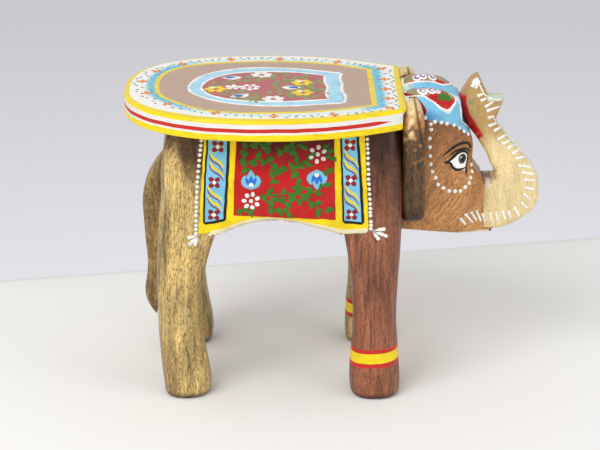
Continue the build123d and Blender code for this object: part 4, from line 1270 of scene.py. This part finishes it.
# ---- seat ------------------------------------------------------------------------------------------
class STOOL_OT_seat(bpy.types.Operator):
    """The seat board with its painted borders."""

    bl_idname = "stool.seat"
    bl_label = "Seat board"

    def execute(self, context):
        outline = seat_outline(SEAT_POINTS_ROUND)
        points = np.concatenate([np.insert(ring, 2, z, axis=1) for ring, z in seat_rings(outline)])
        number = np.arange(len(points)).reshape(-1, SEAT_POINTS_ROUND)
        after = np.roll(number, -1, axis=1)
        quads = np.stack([number[:-1], after[:-1], after[1:], number[1:]], -1).reshape(-1, 4)
        mesh = mesh_from_quads("seat_board_painted", points, quads, [MATERIALS["board"]])
        x = points[:, 0]
        inset = self.inset(points[:, :2], outline)
        set_attribute(mesh, "rim", inset - self.rim_width(points))
        set_attribute(mesh, "line", inset - self.line_inset(points))
        set_attribute(mesh, "blue", 0.45 + 0.55 * np.maximum(ramp(-x, 85, 112), ramp(x, 12, 26)))
        set_attribute(mesh, "corner", 1.7 * ramp(x, SEAT_HIGH[0] - 20, SEAT_HIGH[0] - 3))
        set_points(mesh, self.with_lip(points))
        merge_points(mesh, 0.02, outward=True)
        piece = put_in_scene("seat_board_painted", mesh)
        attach(piece, "root")
        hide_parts("seat_board")
        return {"FINISHED"}

    def with_lip(self, points):
        """The top's front moves out over the head and ears, but not at its near corner: each point by
        the lip times smooth steps in x, y and z."""
        x, y, z = points.T
        lip = SEAT_LIP * ramp(z, 200.5, 202.5) * ramp(x, 38, SEAT_HIGH[0])
        return np.stack([x + lip * ramp(y, -54.4, -47), y, z], 1)

    def inset(self, points, outline):
        """Distance in from the board's outline, worked out a few thousand points at a time."""
        closed = np.concatenate([outline[::2], outline[:1]])
        return np.concatenate([outline_distance(part, closed) for part in np.array_split(points, 8)])

    def rim_width(self, points):
        """The outer yellow line is narrow at the back and the far side, and wide on the near side."""
        x, y = points[:, 0], points[:, 1]
        near = ramp(-y, 20, 62)
        return 3.7 + 2.9 * near * (1 - ramp(x, 30, 44)) - 0.9 * ramp(y, 30, 60)

    def line_inset(self, points):
        """The inner yellow line wanders: it is further in round the rear, and most at its near quarter."""
        x, y = points[:, 0], points[:, 1]
        near_rear = 6.5 * np.exp(-(((x + 112) / 20) ** 2) - ((y + 42) / 22) ** 2)
        inset = 15.5 + 2.2 * ramp(-y, -50, 30) + 5.0 * ramp(-x, 100, 134) + near_rear
        front = ramp(x, 0, 25)
        return inset * (1 - front) + 17.0 * front


class STOOL_OT_seat_flowers(bpy.types.Operator):
    """Flowers and leaf ticks on the seat's border, and the shield in its middle."""

    bl_idname = "stool.seat_flowers"
    bl_label = "Seat flowers"

    # x and y of each flower on the border, once round from the rear
    BORDER_FLOWERS = [
        (-131.5, 16.5), (-127.5, -12.5), (-112.2, -38.6), (-79.6, -59.4), (-41.0, -67.5), (-1.0, -64.7),
        (36.8, -50.0), (36.8, -27.8), (36.2, -5.2), (36.6, 18.9), (35.7, 45.7), (5.0, 63.5),
        (-35.9, 72.0), (-70.9, 72.0), (-105.1, 60.0), (-122.6, 41.5),
    ]
    # the edges of the shield, and of the red field in it
    SHIELD_FAR = [
        (-99.3, 0.0), (-97.0, 13.0), (-91.0, 28.0), (-80.0, 39.5), (-62.0, 47.6), (-41.0, 48.8), (-19.0, 44.3),
        (7.2, 34.2),
    ]
    SHIELD_NEAR = [
        (-99.3, 0.0), (-97.6, -9.5), (-92.0, -19.5), (-81.0, -31.0), (-67.0, -38.8), (-50.0, -43.6), (-30.0, -44.6),
        (-13.0, -41.6), (6.8, -38.0),
    ]
    SHIELD_END = [(7.2, 34.2), (5.8, 20.0), (6.8, 6.0), (6.2, -8.0), (8.2, -24.0), (6.8, -38.0)]
    FIELD_FAR = [
        (-90.6, 0.5), (-88.0, 13.0), (-80.0, 26.5), (-64.0, 36.6), (-41.0, 38.8), (-20.0, 35.6), (-4.6, 29.0),
    ]
    FIELD_NEAR = [
        (-90.6, 0.5), (-88.6, -9.0), (-80.6, -21.6), (-64.0, -31.2), (-41.0, -34.8), (-24.0, -33.2), (-3.4, -29.6),
    ]
    FIELD_END = [(-4.6, 29.0), (-5.0, 12.0), (-3.4, -2.0), (-5.0, -14.0), (-3.4, -29.6)]

    def execute(self, context):
        top = Plane(SEAT_HIGH[2] + SEAT_COAT)
        brush = Brush(top)
        self.paint_border(brush)
        brush.finish("seat_border_flowers", thickness=0.25)
        brush = Brush(top)
        self.paint_shield(brush)
        brush.finish("seat_shield", thickness=0.25)
        return {"FINISHED"}

    def paint_border(self, brush):
        """Each flower has two petals along the border's run, two across it and an oval heart."""
        flowers = np.array(self.BORDER_FLOWERS)
        middle = np.array([-42.0, 0.0])
        before, after = np.roll(flowers, 1, axis=0), np.roll(flowers, -1, axis=0)
        for preceding, flower, following in zip(before, flowers, after):
            along = following - preceding
            angle = np.arctan2(along[1], along[0]) + np.pi / 2
            across = np.array([np.cos(angle), np.sin(angle)])
            for sign in (1, -1):
                brush.petal(flower + across * sign * 1.0, flower + across * sign * 4.5, 2.9, "pink", lift=0.1)
                side = np.array([-across[1], across[0]]) * sign
                brush.dab(flower + side * 2.5, 1.05, "pink", lift=0.1)
            brush.dab(flower, 2.1, "orange", lift=0.14, stretch=1.25, turn=angle)
            self.paint_ticks(brush, flower, following, middle)

    def paint_ticks(self, brush, flower, following, middle):
        """Between two flowers: short curved dashes in pairs towards the rim, and softer ones inwards."""
        gap = np.linalg.norm(following - flower)
        centre = (flower + following) / 2
        along = (following - flower) / gap
        outward = np.array([along[1], -along[0]])
        if np.dot(outward, centre - middle) < 0:
            outward = -outward
        centre = centre + outward * 0.02 * gap**1.25
        room = 1 - 0.55 * ramp(abs(centre[1]), 40, 60)
        brush.petal(centre - outward * 1.8, centre + outward * 1.8, 1.0, "teal", lift=0.1)
        for sign in (1, -1):
            for reach, out in ((0.10, 3.4), (0.26, 4.6)):
                start = centre + outward * out * room + along * gap * reach * sign
                end = start + outward * 1.4 * room + along * 2.4 * sign
                brush.petal(start, end, 1.1, "teal", lift=0.1, bend=0.3 * sign)
            for reach, out in ((0.08, 3.2), (0.20, 4.8)):
                start = centre - outward * out * room + along * gap * reach * sign
                end = start - outward * 2.2 * room + along * 2.4 * sign
                brush.petal(start, end, 1.5, "turquoise", lift=0.1, bend=-0.25 * sign)

    def paint_shield(self, brush):
        """A pale blue shield with a red field, both edged in white."""
        far, near = self.SHIELD_FAR, self.SHIELD_NEAR
        brush.area(far, near, "pale_blue", 0.10, rows=30, columns=60)
        brush.area(self.FIELD_FAR, self.FIELD_NEAR, "dull_red", 0.16, rows=30, columns=50)
        for edge in (far, near, self.SHIELD_END):
            brush.line(edge, 2.3, "white", lift=0.2, count=60)
        for edge in (self.FIELD_FAR, self.FIELD_NEAR, self.FIELD_END):
            brush.line(edge, 2.0, "white", lift=0.2, count=60)
        self.paint_leaves(brush)
        self.paint_blossoms(brush)

    def paint_leaves(self, brush):
        """Leafy sprigs on the red field, one for each stem."""
        stems = [
            [(-86, 2), (-78, 12), (-66, 14), (-55, 22)],
            [(-80, -14), (-68, -12), (-56, -16), (-48, -24)],
            [(-44, 6), (-36, 10), (-28, 20), (-16, 26)],
            [(-46, -8), (-36, -12), (-26, -22), (-12, -26)],
            [(-60, 30), (-50, 20), (-38, 26), (-30, 33)],
            [(-70, -24), (-58, -27), (-50, -32)],
            [(-40, 0), (-34, 0), (-14, 4), (-7, 16)],
            [(-34, -20), (-22, -6), (-12, -4), (-7, -18)],
        ]
        for k, stem in enumerate(stems):
            brush.sprig(stem, 8, 8.0, 4.4, "leaf", seed=20 + k, lift=0.2, stem_width=1.0)

    def paint_blossoms(self, brush):
        """Yellow and white blossoms, two smaller white ones, and three blue buds in white leaves."""
        for centre in ((-80.5, -3.7), (-20.9, 11.2), (-20.7, -13.2)):
            brush.blossom(centre, 4.8, 6, "yellow", 2.6, "pink", 1.9, lift=0.24)
            brush.dab((centre[0] - 1.5, centre[1] + 2.5), 1.9, "white", lift=0.4)
        for centre in ((-48.8, 30.6), (-41.0, -28.3)):
            brush.blossom(centre, 4.8, 7, "white", 2.5, "pink", 1.9, turn=0.3, lift=0.24)
        for centre, count, reach in (((-57.0, 0.2), 7, 5.2), ((-68.5, 0.8), 5, 3.9)):
            brush.blossom(centre, reach, count, "white", 1.9, "white", 1.5, turn=0.2, lift=0.24)
        for centre, turn in (((-69.7, 23.9), 0.0), ((-63.9, -20.5), 0.4), ((-28.0, -1.0), np.pi)):
            ahead = np.array([np.cos(turn), np.sin(turn)])
            brush.petal(centre - 7.4 * ahead, centre + 7.4 * ahead, 9.4, "white", lift=0.22, blunt=1.2)
            brush.petal(centre - 5.6 * ahead, centre + 5.4 * ahead, 7.0, "pale_blue", lift=0.28, blunt=1.2)
            brush.dab(centre - 0.6 * ahead, 2.7, "blue", lift=0.38, stretch=1.3, turn=turn)
            brush.dab(centre + 5.2 * ahead, 1.8, "white", lift=0.42)


# ---- saddle cloth ----------------------------------------------------------------------------------
class STOOL_OT_saddle_cloth(bpy.types.Operator):
    """The saddle cloth painted on each flank."""

    bl_idname = "stool.saddle_cloth"
    bl_label = "Saddle cloths"

    TOP = 190.4  # just under the seat board
    # edges as x and height; a column has one at its left and one at its right
    UPPER_EDGE = [(-87.2, TOP), (-60.0, TOP), (-20.0, TOP), (19.9, TOP)]
    OUTER_LEFT = [(-87.2, TOP), (-87.9, 183.0), (-90.6, 158.4), (-91.9, 132.0), (-92.2, 119.6)]
    OUTER_RIGHT = [(19.9, TOP), (20.2, 183.0), (21.2, 158.0), (22.7, 132.0), (23.0, 122.3)]
    LEFT_COLUMN = (
        [(-85.0, TOP), (-85.4, 183.0), (-87.2, 158.0), (-88.2, 132.0), (-88.3, 127.0)],
        [(-70.9, TOP), (-71.2, 183.0), (-72.5, 158.0), (-74.2, 132.0), (-74.3, 129.6)],
    )
    RIGHT_COLUMN = (
        [(4.0, TOP), (4.3, 183.0), (5.0, 158.0), (5.9, 132.0), (6.0, 127.9)],
        [(15.1, TOP), (15.5, 183.0), (17.3, 158.0), (18.9, 132.0), (19.0, 126.6)],
    )
    FIELD_LEFT = [(-65.6, TOP), (-66.0, 183.0), (-67.6, 158.0), (-68.3, 133.0)]
    FIELD_RIGHT = [(-0.8, TOP), (-0.5, 183.0), (0.0, 158.0), (0.7, 129.2)]
    HEM = [
        (-92.2, 119.6), (-84.7, 119.9), (-75.9, 121.9), (-68.3, 125.0), (-58.3, 128.4), (-43.3, 129.8), (-30.8, 128.4),
        (-13.3, 125.4), (-0.8, 122.2), (6.7, 120.8), (15.5, 121.2), (23.0, 121.7),
    ]

    def execute(self, context):
        pieces = [bpy.data.objects[name] for name in CARVED if "body" in name or "leg" in name]
        # what is painted, and how much of the painted shade under the seat lies on it
        layers = {
            "ground": (self.paint_ground, 1.0),
            "flowers": (self.paint_flowers, 0.45),
            "beads": (self.paint_beads, 0.45),
        }
        for side, word in FLANKS:
            flank = Surface(pieces, (1, 0, 0), (0, 0, 1), (0, side, 0), (-104, 108), (44, 191.0), widen=2)
            for name, (paint, dirt) in layers.items():
                brush = Brush(flank)
                paint(brush)
                piece = brush.finish(f"saddle_cloth_{name}_{word}")
                set_attribute(piece.data, "soot", dirt * self.dirt(points_of(piece.data)))
        return {"FINISHED"}

    def dirt(self, points):
        """Painted shade in the red field's upper part, under the seat board, in soft patches."""
        x, _, z = points.T
        inside = ramp(x, -66.5, -65.5) * ramp(-x, -0.2, 0.8)
        return inside * ramp(z + 4 * rolling(points, 14.0, seed=12), 163, 183)

    def paint_ground(self, brush):
        """The yellow cloth, its two blue columns edged in black, and its red field."""
        brush.area(self.UPPER_EDGE, self.HEM, "yellow", 0.25, rows=90, columns=150)
        for left, right in (self.LEFT_COLUMN, self.RIGHT_COLUMN):
            brush.area(left, right, "sky_blue", 0.45, rows=36, columns=90)
            brush.line(left, 1.3, "black", lift=0.52, count=50)
            brush.line(right, 1.9, "black", lift=0.52, count=50)
            brush.line([left[-1], right[-1]], 1.9, "black", lift=0.52)
        brush.area(self.FIELD_LEFT, self.FIELD_RIGHT, "red", 0.38, rows=90, columns=90)

    def paint_flowers(self, brush):
        """Small flowers and S strokes down the columns; leaves, buds and blossoms on the red field."""
        for x, z in ((-78.4, 180.2), (-81.0, 156.4), (-81.6, 133.5), (10.2, 181.0), (10.8, 157.2), (11.4, 133.2)):
            brush.blossom((x, z), 2.75, 4, "deep_red", 1.65, "white", 1.45, turn=0.75, lift=0.58)
        for x, z in ((-79.0, 168.5), (-80.6, 145.2), (11.2, 169.3), (11.8, 145.4)):
            self.paint_strokes(brush, x, z)
        self.paint_foliage(brush)
        self.paint_bud(brush, np.array([-56.3, 157.2]), 1)
        self.paint_bud(brush, np.array([-12.1, 158.6]), -1)
        for x, z, count in ((-56.4, 143.3, 7), (-11.5, 175.0, 6)):
            brush.blossom((x, z), 4.7, count, "white", 1.45, "white", 1.5, turn=0.4, lift=0.62)

    def paint_strokes(self, brush, x, z):
        """Two pairs of S strokes between the flowers of a column, yellow with red beneath."""
        for low in (3.2, -3.4):
            start, end = np.array([x - 5.0, z + low + 6.4]), np.array([x + 4.8, z + low - 6.0])
            bend = [start, start + (2.2, -4.8), end + (-2.6, 4.2), end]
            beneath = [point + (-0.5, -2.3) for point in bend]
            brush.line(bend, 1.7, "yellow", lift=0.58, start=0.25, end=0.25)
            brush.line(beneath, 0.9, "deep_red", lift=0.58, start=0.3, end=0.3)

    def paint_bud(self, brush, centre, up):
        """A lotus bud: two round sides and a pointed middle, a darker heart and one white dot."""
        for sign in (-1, 1):
            foot, tip = centre + (0, -6.4 * up), centre + (4.0 * sign, 4.2 * up)
            brush.petal(foot, tip, 5.8, "sky_blue", lift=0.62, bend=-0.16 * sign * up)
        brush.petal(centre + (0, -6.2 * up), centre + (0, 7.8 * up), 7.4, "sky_blue", lift=0.66, blunt=0.9)
        for angle, reach in ((0.0, 4.2), (0.95, 4.4), (-0.95, 4.4)):
            tip = centre + (np.sin(angle) * reach, np.cos(angle) * reach * up)
            brush.petal(centre + (0, -4.8 * up), tip, 3.3, "blue", lift=0.8)
        brush.dab(centre + (0, -2.6 * up), 1.6, "white", lift=0.95)

    def paint_foliage(self, brush):
        """Leafy sprigs on the red field: each one's stem, its count of leaves, their length and width."""
        long_stem = [
            (-52, 147), (-41, 147.4), (-32, 148.6), (-23, 147.6), (-15, 149), (-8.6, 153), (-6, 160), (-5.5, 168),
        ]
        sprigs = [
            (long_stem, 13, 6.5, 3.9),
            ([(-44, 146), (-35, 142), (-26, 144), (-17, 143), (-10, 138), (-3.5, 133.5)], 10, 6.5, 4.1),
            ([(-63, 161), (-60, 168), (-52, 172), (-44, 169), (-36, 163)], 8, 6.5, 3.9),
            ([(-64, 176), (-57, 181), (-49, 182), (-42, 179)], 7, 6.5, 3.9),
            ([(-29, 158), (-27.5, 165), (-22, 170), (-17, 172)], 6, 7.0, 4.3),
            ([(-40, 180), (-33, 177), (-26, 180), (-19, 184)], 6, 6.5, 3.9),
            ([(-65, 138), (-61, 136), (-55, 135.5)], 4, 5.5, 3.5),
            ([(-44, 155), (-41, 160), (-38, 166)], 4, 6.0, 3.7),
            ([(-30, 152), (-24, 154), (-19, 151)], 4, 5.5, 3.5),
            ([(-4, 183), (-4.5, 177), (-3, 171)], 4, 5.0, 3.3),
            ([(-45, 139), (-38, 136), (-30, 136)], 5, 5.0, 3.5),
        ]
        for k, (stem, leaves, length, width) in enumerate(sprigs):
            brush.sprig(stem, leaves, length, width, "green", seed=40 + k, lift=0.5, stem_width=1.2)

    def paint_beads(self, brush):
        """White beads down both sides and at the hem's left end, the cream bevel along the hem, and a
        tassel of three strokes at each lower corner."""
        for edge, shift in ((self.OUTER_LEFT, -1.7), (self.OUTER_RIGHT, 1.6)):
            for x, z in flowing(edge, 22)[1:]:
                brush.dab((x + shift, z), 1.3, "white", crown=0.7, lift=0.12)
        for x, z in flowing(self.HEM[1:], 27)[:4]:
            brush.dab((x, z - 1.4), 1.0, "white", crown=0.5, lift=0.2)
        brush.line([(x, z - 0.4) for x, z in self.HEM[1:]], 3.2, "cream", lift=0.4, count=80)
        for start, tips in (
            ((-92.6, 118.4), ((-98.0, 112.6), (-94.6, 112.4), (-98.6, 117.2))),
            ((25.2, 121.4), ((33.4, 122.0), (34.8, 117.2), (29.6, 115.6))),
        ):
            for tip in tips:
                brush.petal(start, tip, 2.8, "white", crown=0.5, lift=0.15, blunt=2.2)
                brush.dab(tip, 1.35, "white", crown=0.6, lift=0.15)


# ---- face, cap and trunk ---------------------------------------------------------------------------
class STOOL_OT_face(bpy.types.Operator):
    """Eyes, rows of dots and the cap's flowers on the head."""

    bl_idname = "stool.face"
    bl_label = "Face and cap"

    CHEEK_DOTS = [
        (65.5, 188.6), (65.9, 184.6), (64.9, 178.4), (65.1, 172.2), (65.5, 165.8), (66.0, 160.0), (67.2, 154.6),
        (69.4, 150.1), (71.4, 145.1), (75.1, 142.5), (79.2, 140.0), (83.4, 139.4), (87.2, 139.3), (90.7, 141.4),
        (93.5, 143.7), (94.6, 146.9), (95.7, 150.2), (95.3, 154.6),
    ]
    CAP_DOTS = [
        (61.6, 193.1), (68.4, 190.3), (72.9, 189.4), (76.8, 188.1), (82.0, 185.8), (85.9, 182.8), (89.3, 179.7),
        (92.4, 176.9),
    ]
    CAP_BACK_LINE = [(47.5, 206.4), (53, 205.4), (57.5, 202.6), (61.2, 198.4), (61.6, 195.0)]
    WHITE_TOP = [(76.8, 160.7), (80.0, 162.6), (84.4, 165.6), (88.0, 166.6), (92.0, 164.0)]
    WHITE_BOTTOM = [(76.8, 160.7), (80.2, 158.6), (83.6, 154.8), (87.6, 153.6), (90.6, 152.6)]
    UPPER_LID = [
        (76.6, 160.6), (79.4, 161.8), (81.6, 163.6), (84.4, 165.9), (87.4, 167.0), (90.4, 166.2), (92.0, 163.6),
    ]
    LOWER_LID = [(77.0, 160.7), (79.8, 159.6), (81.3, 156.8), (83.8, 154.6), (87.6, 154.1), (90.6, 154.6)]
    UPPER_CREASE = [
        (74.2, 165.2), (77.2, 167.6), (81.1, 170.4), (85.6, 172.4), (90.0, 172.4), (93.0, 170.6), (94.6, 166.8),
    ]
    LOWER_CREASE = [(78.8, 164.4), (81.6, 166.8), (85.2, 168.5), (89.0, 168.6), (92.2, 167.2), (93.9, 163.6)]
    # the line between the domes seen from the front: distance from the middle, and height
    CAP_FRONT_LINE = [
        (13.0, 201.2), (18.5, 199.4), (22.2, 194.4), (21.6, 189.6), (14.0, 183.4), (3.0, 177.2), (0.0, 176.4),
    ]

    def execute(self, context):
        head = [bpy.data.objects["carved_head"]]
        for side, word in FLANKS:
            cheek = Surface(head, (1, 0, 0), (0, 0, 1), (0, side, 0), (47, 104), (104, 206))
            brush = Brush(cheek, wobble=0.1)
            for spot in self.CHEEK_DOTS:
                brush.dab(spot, 1.5, "white", crown=0.8, lift=0.1)
            for spot in self.CAP_DOTS:
                brush.dab(spot, 1.5, "white", crown=0.8, lift=0.15)
            brush.line(self.CAP_BACK_LINE, 3.0, "deep_red", lift=0.15, start=0.4, end=0.6)
            brush.finish(f"cheek_dots_{word}")
            brush = Brush(cheek, wobble=0.06)
            self.paint_eye(brush)
            brush.finish(f"eye_{word}")
        self.paint_cap_top(head)
        self.paint_cap_front(head)
        return {"FINISHED"}

    def paint_eye(self, brush):
        """The white, the pupil with its grey ring and glint, the lids, the lashes and two creases."""
        brush.area(self.WHITE_TOP, self.WHITE_BOTTOM, "white", 0.12, rows=12, columns=24)
        brush.dab((88.1, 161.4), 3.3, "black", crown=0.1, lift=0.2, stretch=1.1, turn=1.7)
        brush.dab((87.6, 161.2), 2.4, "grey", crown=0.05, lift=0.3, stretch=1.15, turn=1.6)
        brush.dab((88.0, 161.0), 2.0, "black", crown=0.1, lift=0.38, stretch=1.1, turn=1.6)
        brush.dab((87.2, 162.6), 0.55, "white", crown=0.1, lift=0.55)
        # each line's path, its width, and the shares of that width at its start and end
        strokes = [
            (self.UPPER_LID, 2.1, 0.5, 0.5),
            (self.LOWER_LID, 1.7, 0.8, 0.6),
            ([(90.9, 155.0), (91.3, 152.0), (90.8, 149.4)], 1.2, 1.0, 0.3),
            ([(92.2, 164.6), (92.3, 161.0), (91.6, 157.4), (90.8, 153.4)], 0.9, 1.0, 1.0),
            ([(75.2, 161.2), (76.8, 160.4), (79.2, 160.4)], 1.5, 0.3, 1.0),
            (self.LOWER_CREASE, 1.3, 0.4, 0.5),
            (self.UPPER_CREASE, 1.9, 0.3, 0.5),
        ]
        for path, width, start, end in strokes:
            brush.line(path, width, "black", crown=0.1, lift=0.26, start=start, end=end)

    def paint_cap_top(self, head):
        """Leaves, white flowers with lilac shading, and beads round each dome's paisley."""
        above = Surface(head, (1, 0, 0), (0, 1, 0), (0, 0, 1), (46.5, -33), (99, 33))
        brush = Brush(above, wobble=0.12)
        for side in (NEAR, FAR):
            for x, y in ((53, 19.5), (57, 22.5), (60, 10), (68, 10.5), (77, 14.5), (80, 19), (53, 12)):
                brush.dab((x, side * y), 2.0, "leaf", crown=0.1, lift=0.1, stretch=1.5, turn=0.3 * x)
            for spot in paisley_outline(side, 50)[1:-1]:
                brush.dab(spot, 1.0, "white", crown=0.6, lift=0.12)
            if side == NEAR:
                flowers = ((60.4, 20.8, 3.4), (66.4, 19.8, 3.0), (70.2, 18.4, 2.9))
            else:
                flowers = ((58.6, 12.6, 2.8), (62.6, 14.6, 3.2), (69.4, 13.4, 2.8))
            for x, y, radius in flowers:
                brush.dab((x, side * y), 1.45 * radius, "white", crown=0.2, lift=0.2, stretch=0.72, turn=0.3)
                brush.dab((x, side * y), 0.85 * radius, "lilac", crown=0.1, lift=0.42, stretch=0.7, turn=0.3)
                brush.dab((x + 0.5, side * (y + 0.6)), 0.4 * radius, "white", crown=0.1, lift=0.6)
            for x, y in ((72.8, 23.6), (75.3, 22.1), (77.8, 21.8), (75.1, 25.4), (72.6, 26.0), (77.6, 24.4)):
                brush.dab((x, side * y), 1.6, "green", crown=0.2, lift=0.2, stretch=1.3, turn=x)
        brush.finish("cap_flowers", thickness=0.25)

    def paint_cap_front(self, head):
        """A white line with beads on it, round the front of each dome."""
        front = Surface(head, (0, 1, 0), (0, 0, 1), (1, 0, 0), (-30, 168), (30, 208))
        brush = Brush(front, wobble=0.12)
        for side in (NEAR, FAR):
            path = [(side * y, z) for y, z in self.CAP_FRONT_LINE]
            brush.line(path, 1.5, "white", lift=0.15, count=40)
            for spot in flowing(path, 15)[:-1]:
                brush.dab(spot, 1.05, "white", crown=0.5, lift=0.2)
        brush.finish("cap_front_line", thickness=0.25)


class STOOL_OT_trunk_pins(bpy.types.Operator):
    """White pin strokes along the trunk, each a dot with a tail that runs out towards its edge."""

    bl_idname = "stool.trunk_pins"
    bl_label = "Trunk pins"

    # each stroke: x and height of its dot, and of its tail's end
    PINS = [
        (100.0, 202.4, 103.1, 203.6), (102.3, 198.9, 105.6, 200.6), (105.3, 194.6, 110.4, 198.0),
        (106.7, 191.5, 114.9, 194.6), (107.6, 186.4, 111.2, 187.4), (108.2, 180.6, 113.9, 183.4),
        (111.7, 177.3, 116.3, 179.6), (114.4, 171.0, 120.6, 174.6), (117.9, 167.7, 123.6, 170.6),
        (121.4, 164.4, 126.6, 167.4), (124.5, 160.6, 129.8, 163.8), (127.2, 156.7, 134.0, 158.4),
        (129.1, 151.2, 137.8, 150.6), (131.8, 146.4, 140.4, 145.2), (133.7, 141.2, 141.0, 140.4),
        (134.3, 135.4, 140.6, 133.7), (133.2, 130.4, 138.8, 125.6), (131.6, 124.0, 135.8, 120.1),
        (126.9, 120.3, 130.4, 113.8), (122.7, 117.6, 124.3, 112.6), (118.7, 117.6, 120.4, 111.6),
        (114.0, 116.7, 115.0, 110.2), (109.6, 116.3, 111.2, 108.3), (104.8, 115.8, 106.0, 108.9),
        (99.9, 118.0, 103.3, 110.3), (95.8, 117.1, 100.2, 111.0), (91.8, 115.6, 97.5, 109.2),
        (88.4, 112.5, 92.0, 108.0), (98.2, 208.4, 99.4, 211.0), (95.8, 209.4, 97.4, 211.4),
    ]
    FRONT_LINE = [(110.4, 186.2), (114.0, 182.3), (119.8, 176.0), (128.8, 165.0), (134.0, 157.4), (139.2, 148.2)]
    LIP_LINE = [(97.6, 214.4), (100.6, 209.9), (102.6, 206.0), (104.5, 203.0), (109.5, 200.2), (116.2, 199.0)]
    # the map leans 20 degrees up from level, so that the trunk's sloping front is on it too
    TILT_SINE, TILT_COSINE = 0.342, 0.940
    OUT_FROM_MIDDLE = 12  # where the trunk's flank lies

    def execute(self, context):
        pieces = [bpy.data.objects[name] for name in ("carved_trunk", "carved_head")]
        for side, word in FLANKS:
            up = (0, -self.TILT_SINE * side, self.TILT_COSINE)
            toward = (0, self.TILT_COSINE * side, self.TILT_SINE)
            flank = Surface(pieces, (1, 0, 0), up, toward, (80, 92), (145, 201), smoothing=2)
            brush = Brush(flank, wobble=0.12)
            for x, z, end_x, end_z in self.PINS:
                dot, end = self.seen(x, z), self.seen(end_x, end_z)
                brush.dab(dot, 1.25, "white", crown=0.6, lift=0.14)
                brush.line([dot, (dot + end) / 2, end], 1.7, "white", crown=0.4, lift=0.12, count=9, end=0.6)
            brush.line([self.seen(x, z) for x, z in self.FRONT_LINE], 1.0, "white", crown=0.15, lift=0.12, count=60)
            brush.line([self.seen(x, z) for x, z in self.LIP_LINE], 0.9, "white", crown=0.2, lift=0.1, count=40)
            for x, z in ((98.8, 213.8), (97.4, 213.2), (99.8, 212.0), (98.2, 211.2), (96.6, 211.8)):
                brush.dab(self.seen(x, z), 1.4, "white", crown=0.4, lift=0.12)
            for x, z in ((94.6, 198.0), (95.6, 196.6), (96.2, 198.6)):
                brush.dab(self.seen(x, z), 1.2, "leaf", crown=0.15, lift=0.12)
            brush.dab(self.seen(110.4, 104.6), 0.9, "black", crown=0.2, lift=0.1)
            brush.finish(f"trunk_pins_{word}")
        return {"FINISHED"}

    def seen(self, x, z):
        """The tilted map's place for a point of the flank: (x, cos z - sin y)."""
        return np.array([x, self.TILT_COSINE * z - self.TILT_SINE * self.OUT_FROM_MIDDLE])


# ---- joinery ---------------------------------------------------------------------------------------
class STOOL_OT_hidden_fixings(bpy.types.Operator):
    """Plain beech for the dowels and plugs, and zinc for the screws under the paint."""

    bl_idname = "stool.hidden_fixings"
    bl_label = "Dowels, plugs and screws"

    def execute(self, context):
        beech = varnished_wood("dowel_beech", srgb("#c9a577"), streak=1.4, contrast=0.4, pores=0.3, gloss=0.5)
        zinc = zinc_plated_steel("zinc_plated_steel", srgb("#b9bcbf"))
        for name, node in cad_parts.items():
            if "dowel" in name or "plug" in name or "screw" in name:
                node.data.materials.clear()
                node.data.materials.append(zinc if name == "seat_screws" else beech)
        return {"FINISHED"}


# ---- add-on ----------------------------------------------------------------------------------------
CLASSES = [
    STOOL_PG_stage,
    STOOL_PG_timber,
    STOOL_PG_enamel,
    STOOL_OT_stage,
    STOOL_OT_carved_wood,
    STOOL_OT_seat,
    STOOL_OT_seat_flowers,
    STOOL_OT_saddle_cloth,
    STOOL_OT_face,
    STOOL_OT_trunk_pins,
    STOOL_OT_hidden_fixings,
]
STEPS = ["stage", "carved_wood", "seat", "seat_flowers", "saddle_cloth", "face", "trunk_pins", "hidden_fixings"]


class STOOL_PT_panel(bpy.types.Panel):
    """Lists the steps in the order in which they run."""

    bl_idname = "STOOL_PT_panel"
    bl_label = "Elephant Stool"
    bl_space_type = "VIEW_3D"
    bl_region_type = "UI"
    bl_category = "Stool"

    def draw(self, context):
        for step in STEPS:
            self.layout.operator("stool." + step)


def register():
    """The classes, and the scene's properties that the steps read."""
    for new_class in [*CLASSES, STOOL_PT_panel]:
        bpy.utils.register_class(new_class)
    bpy.types.Scene.stool_stage = PointerProperty(type=STOOL_PG_stage)
    bpy.types.Scene.stool_timber = PointerProperty(type=STOOL_PG_timber)
    bpy.types.Scene.stool_enamel = PointerProperty(type=STOOL_PG_enamel)


def unregister():
    """Takes the properties and the classes away again."""
    del bpy.types.Scene.stool_stage
    del bpy.types.Scene.stool_timber
    del bpy.types.Scene.stool_enamel
    for old_class in reversed([*CLASSES, STOOL_PT_panel]):
        bpy.utils.unregister_class(old_class)


def main():
    """Runs every step in order."""
    register()
    for step in STEPS:
        getattr(bpy.ops.stool, step)()


if __name__ == "__main__":
    main()
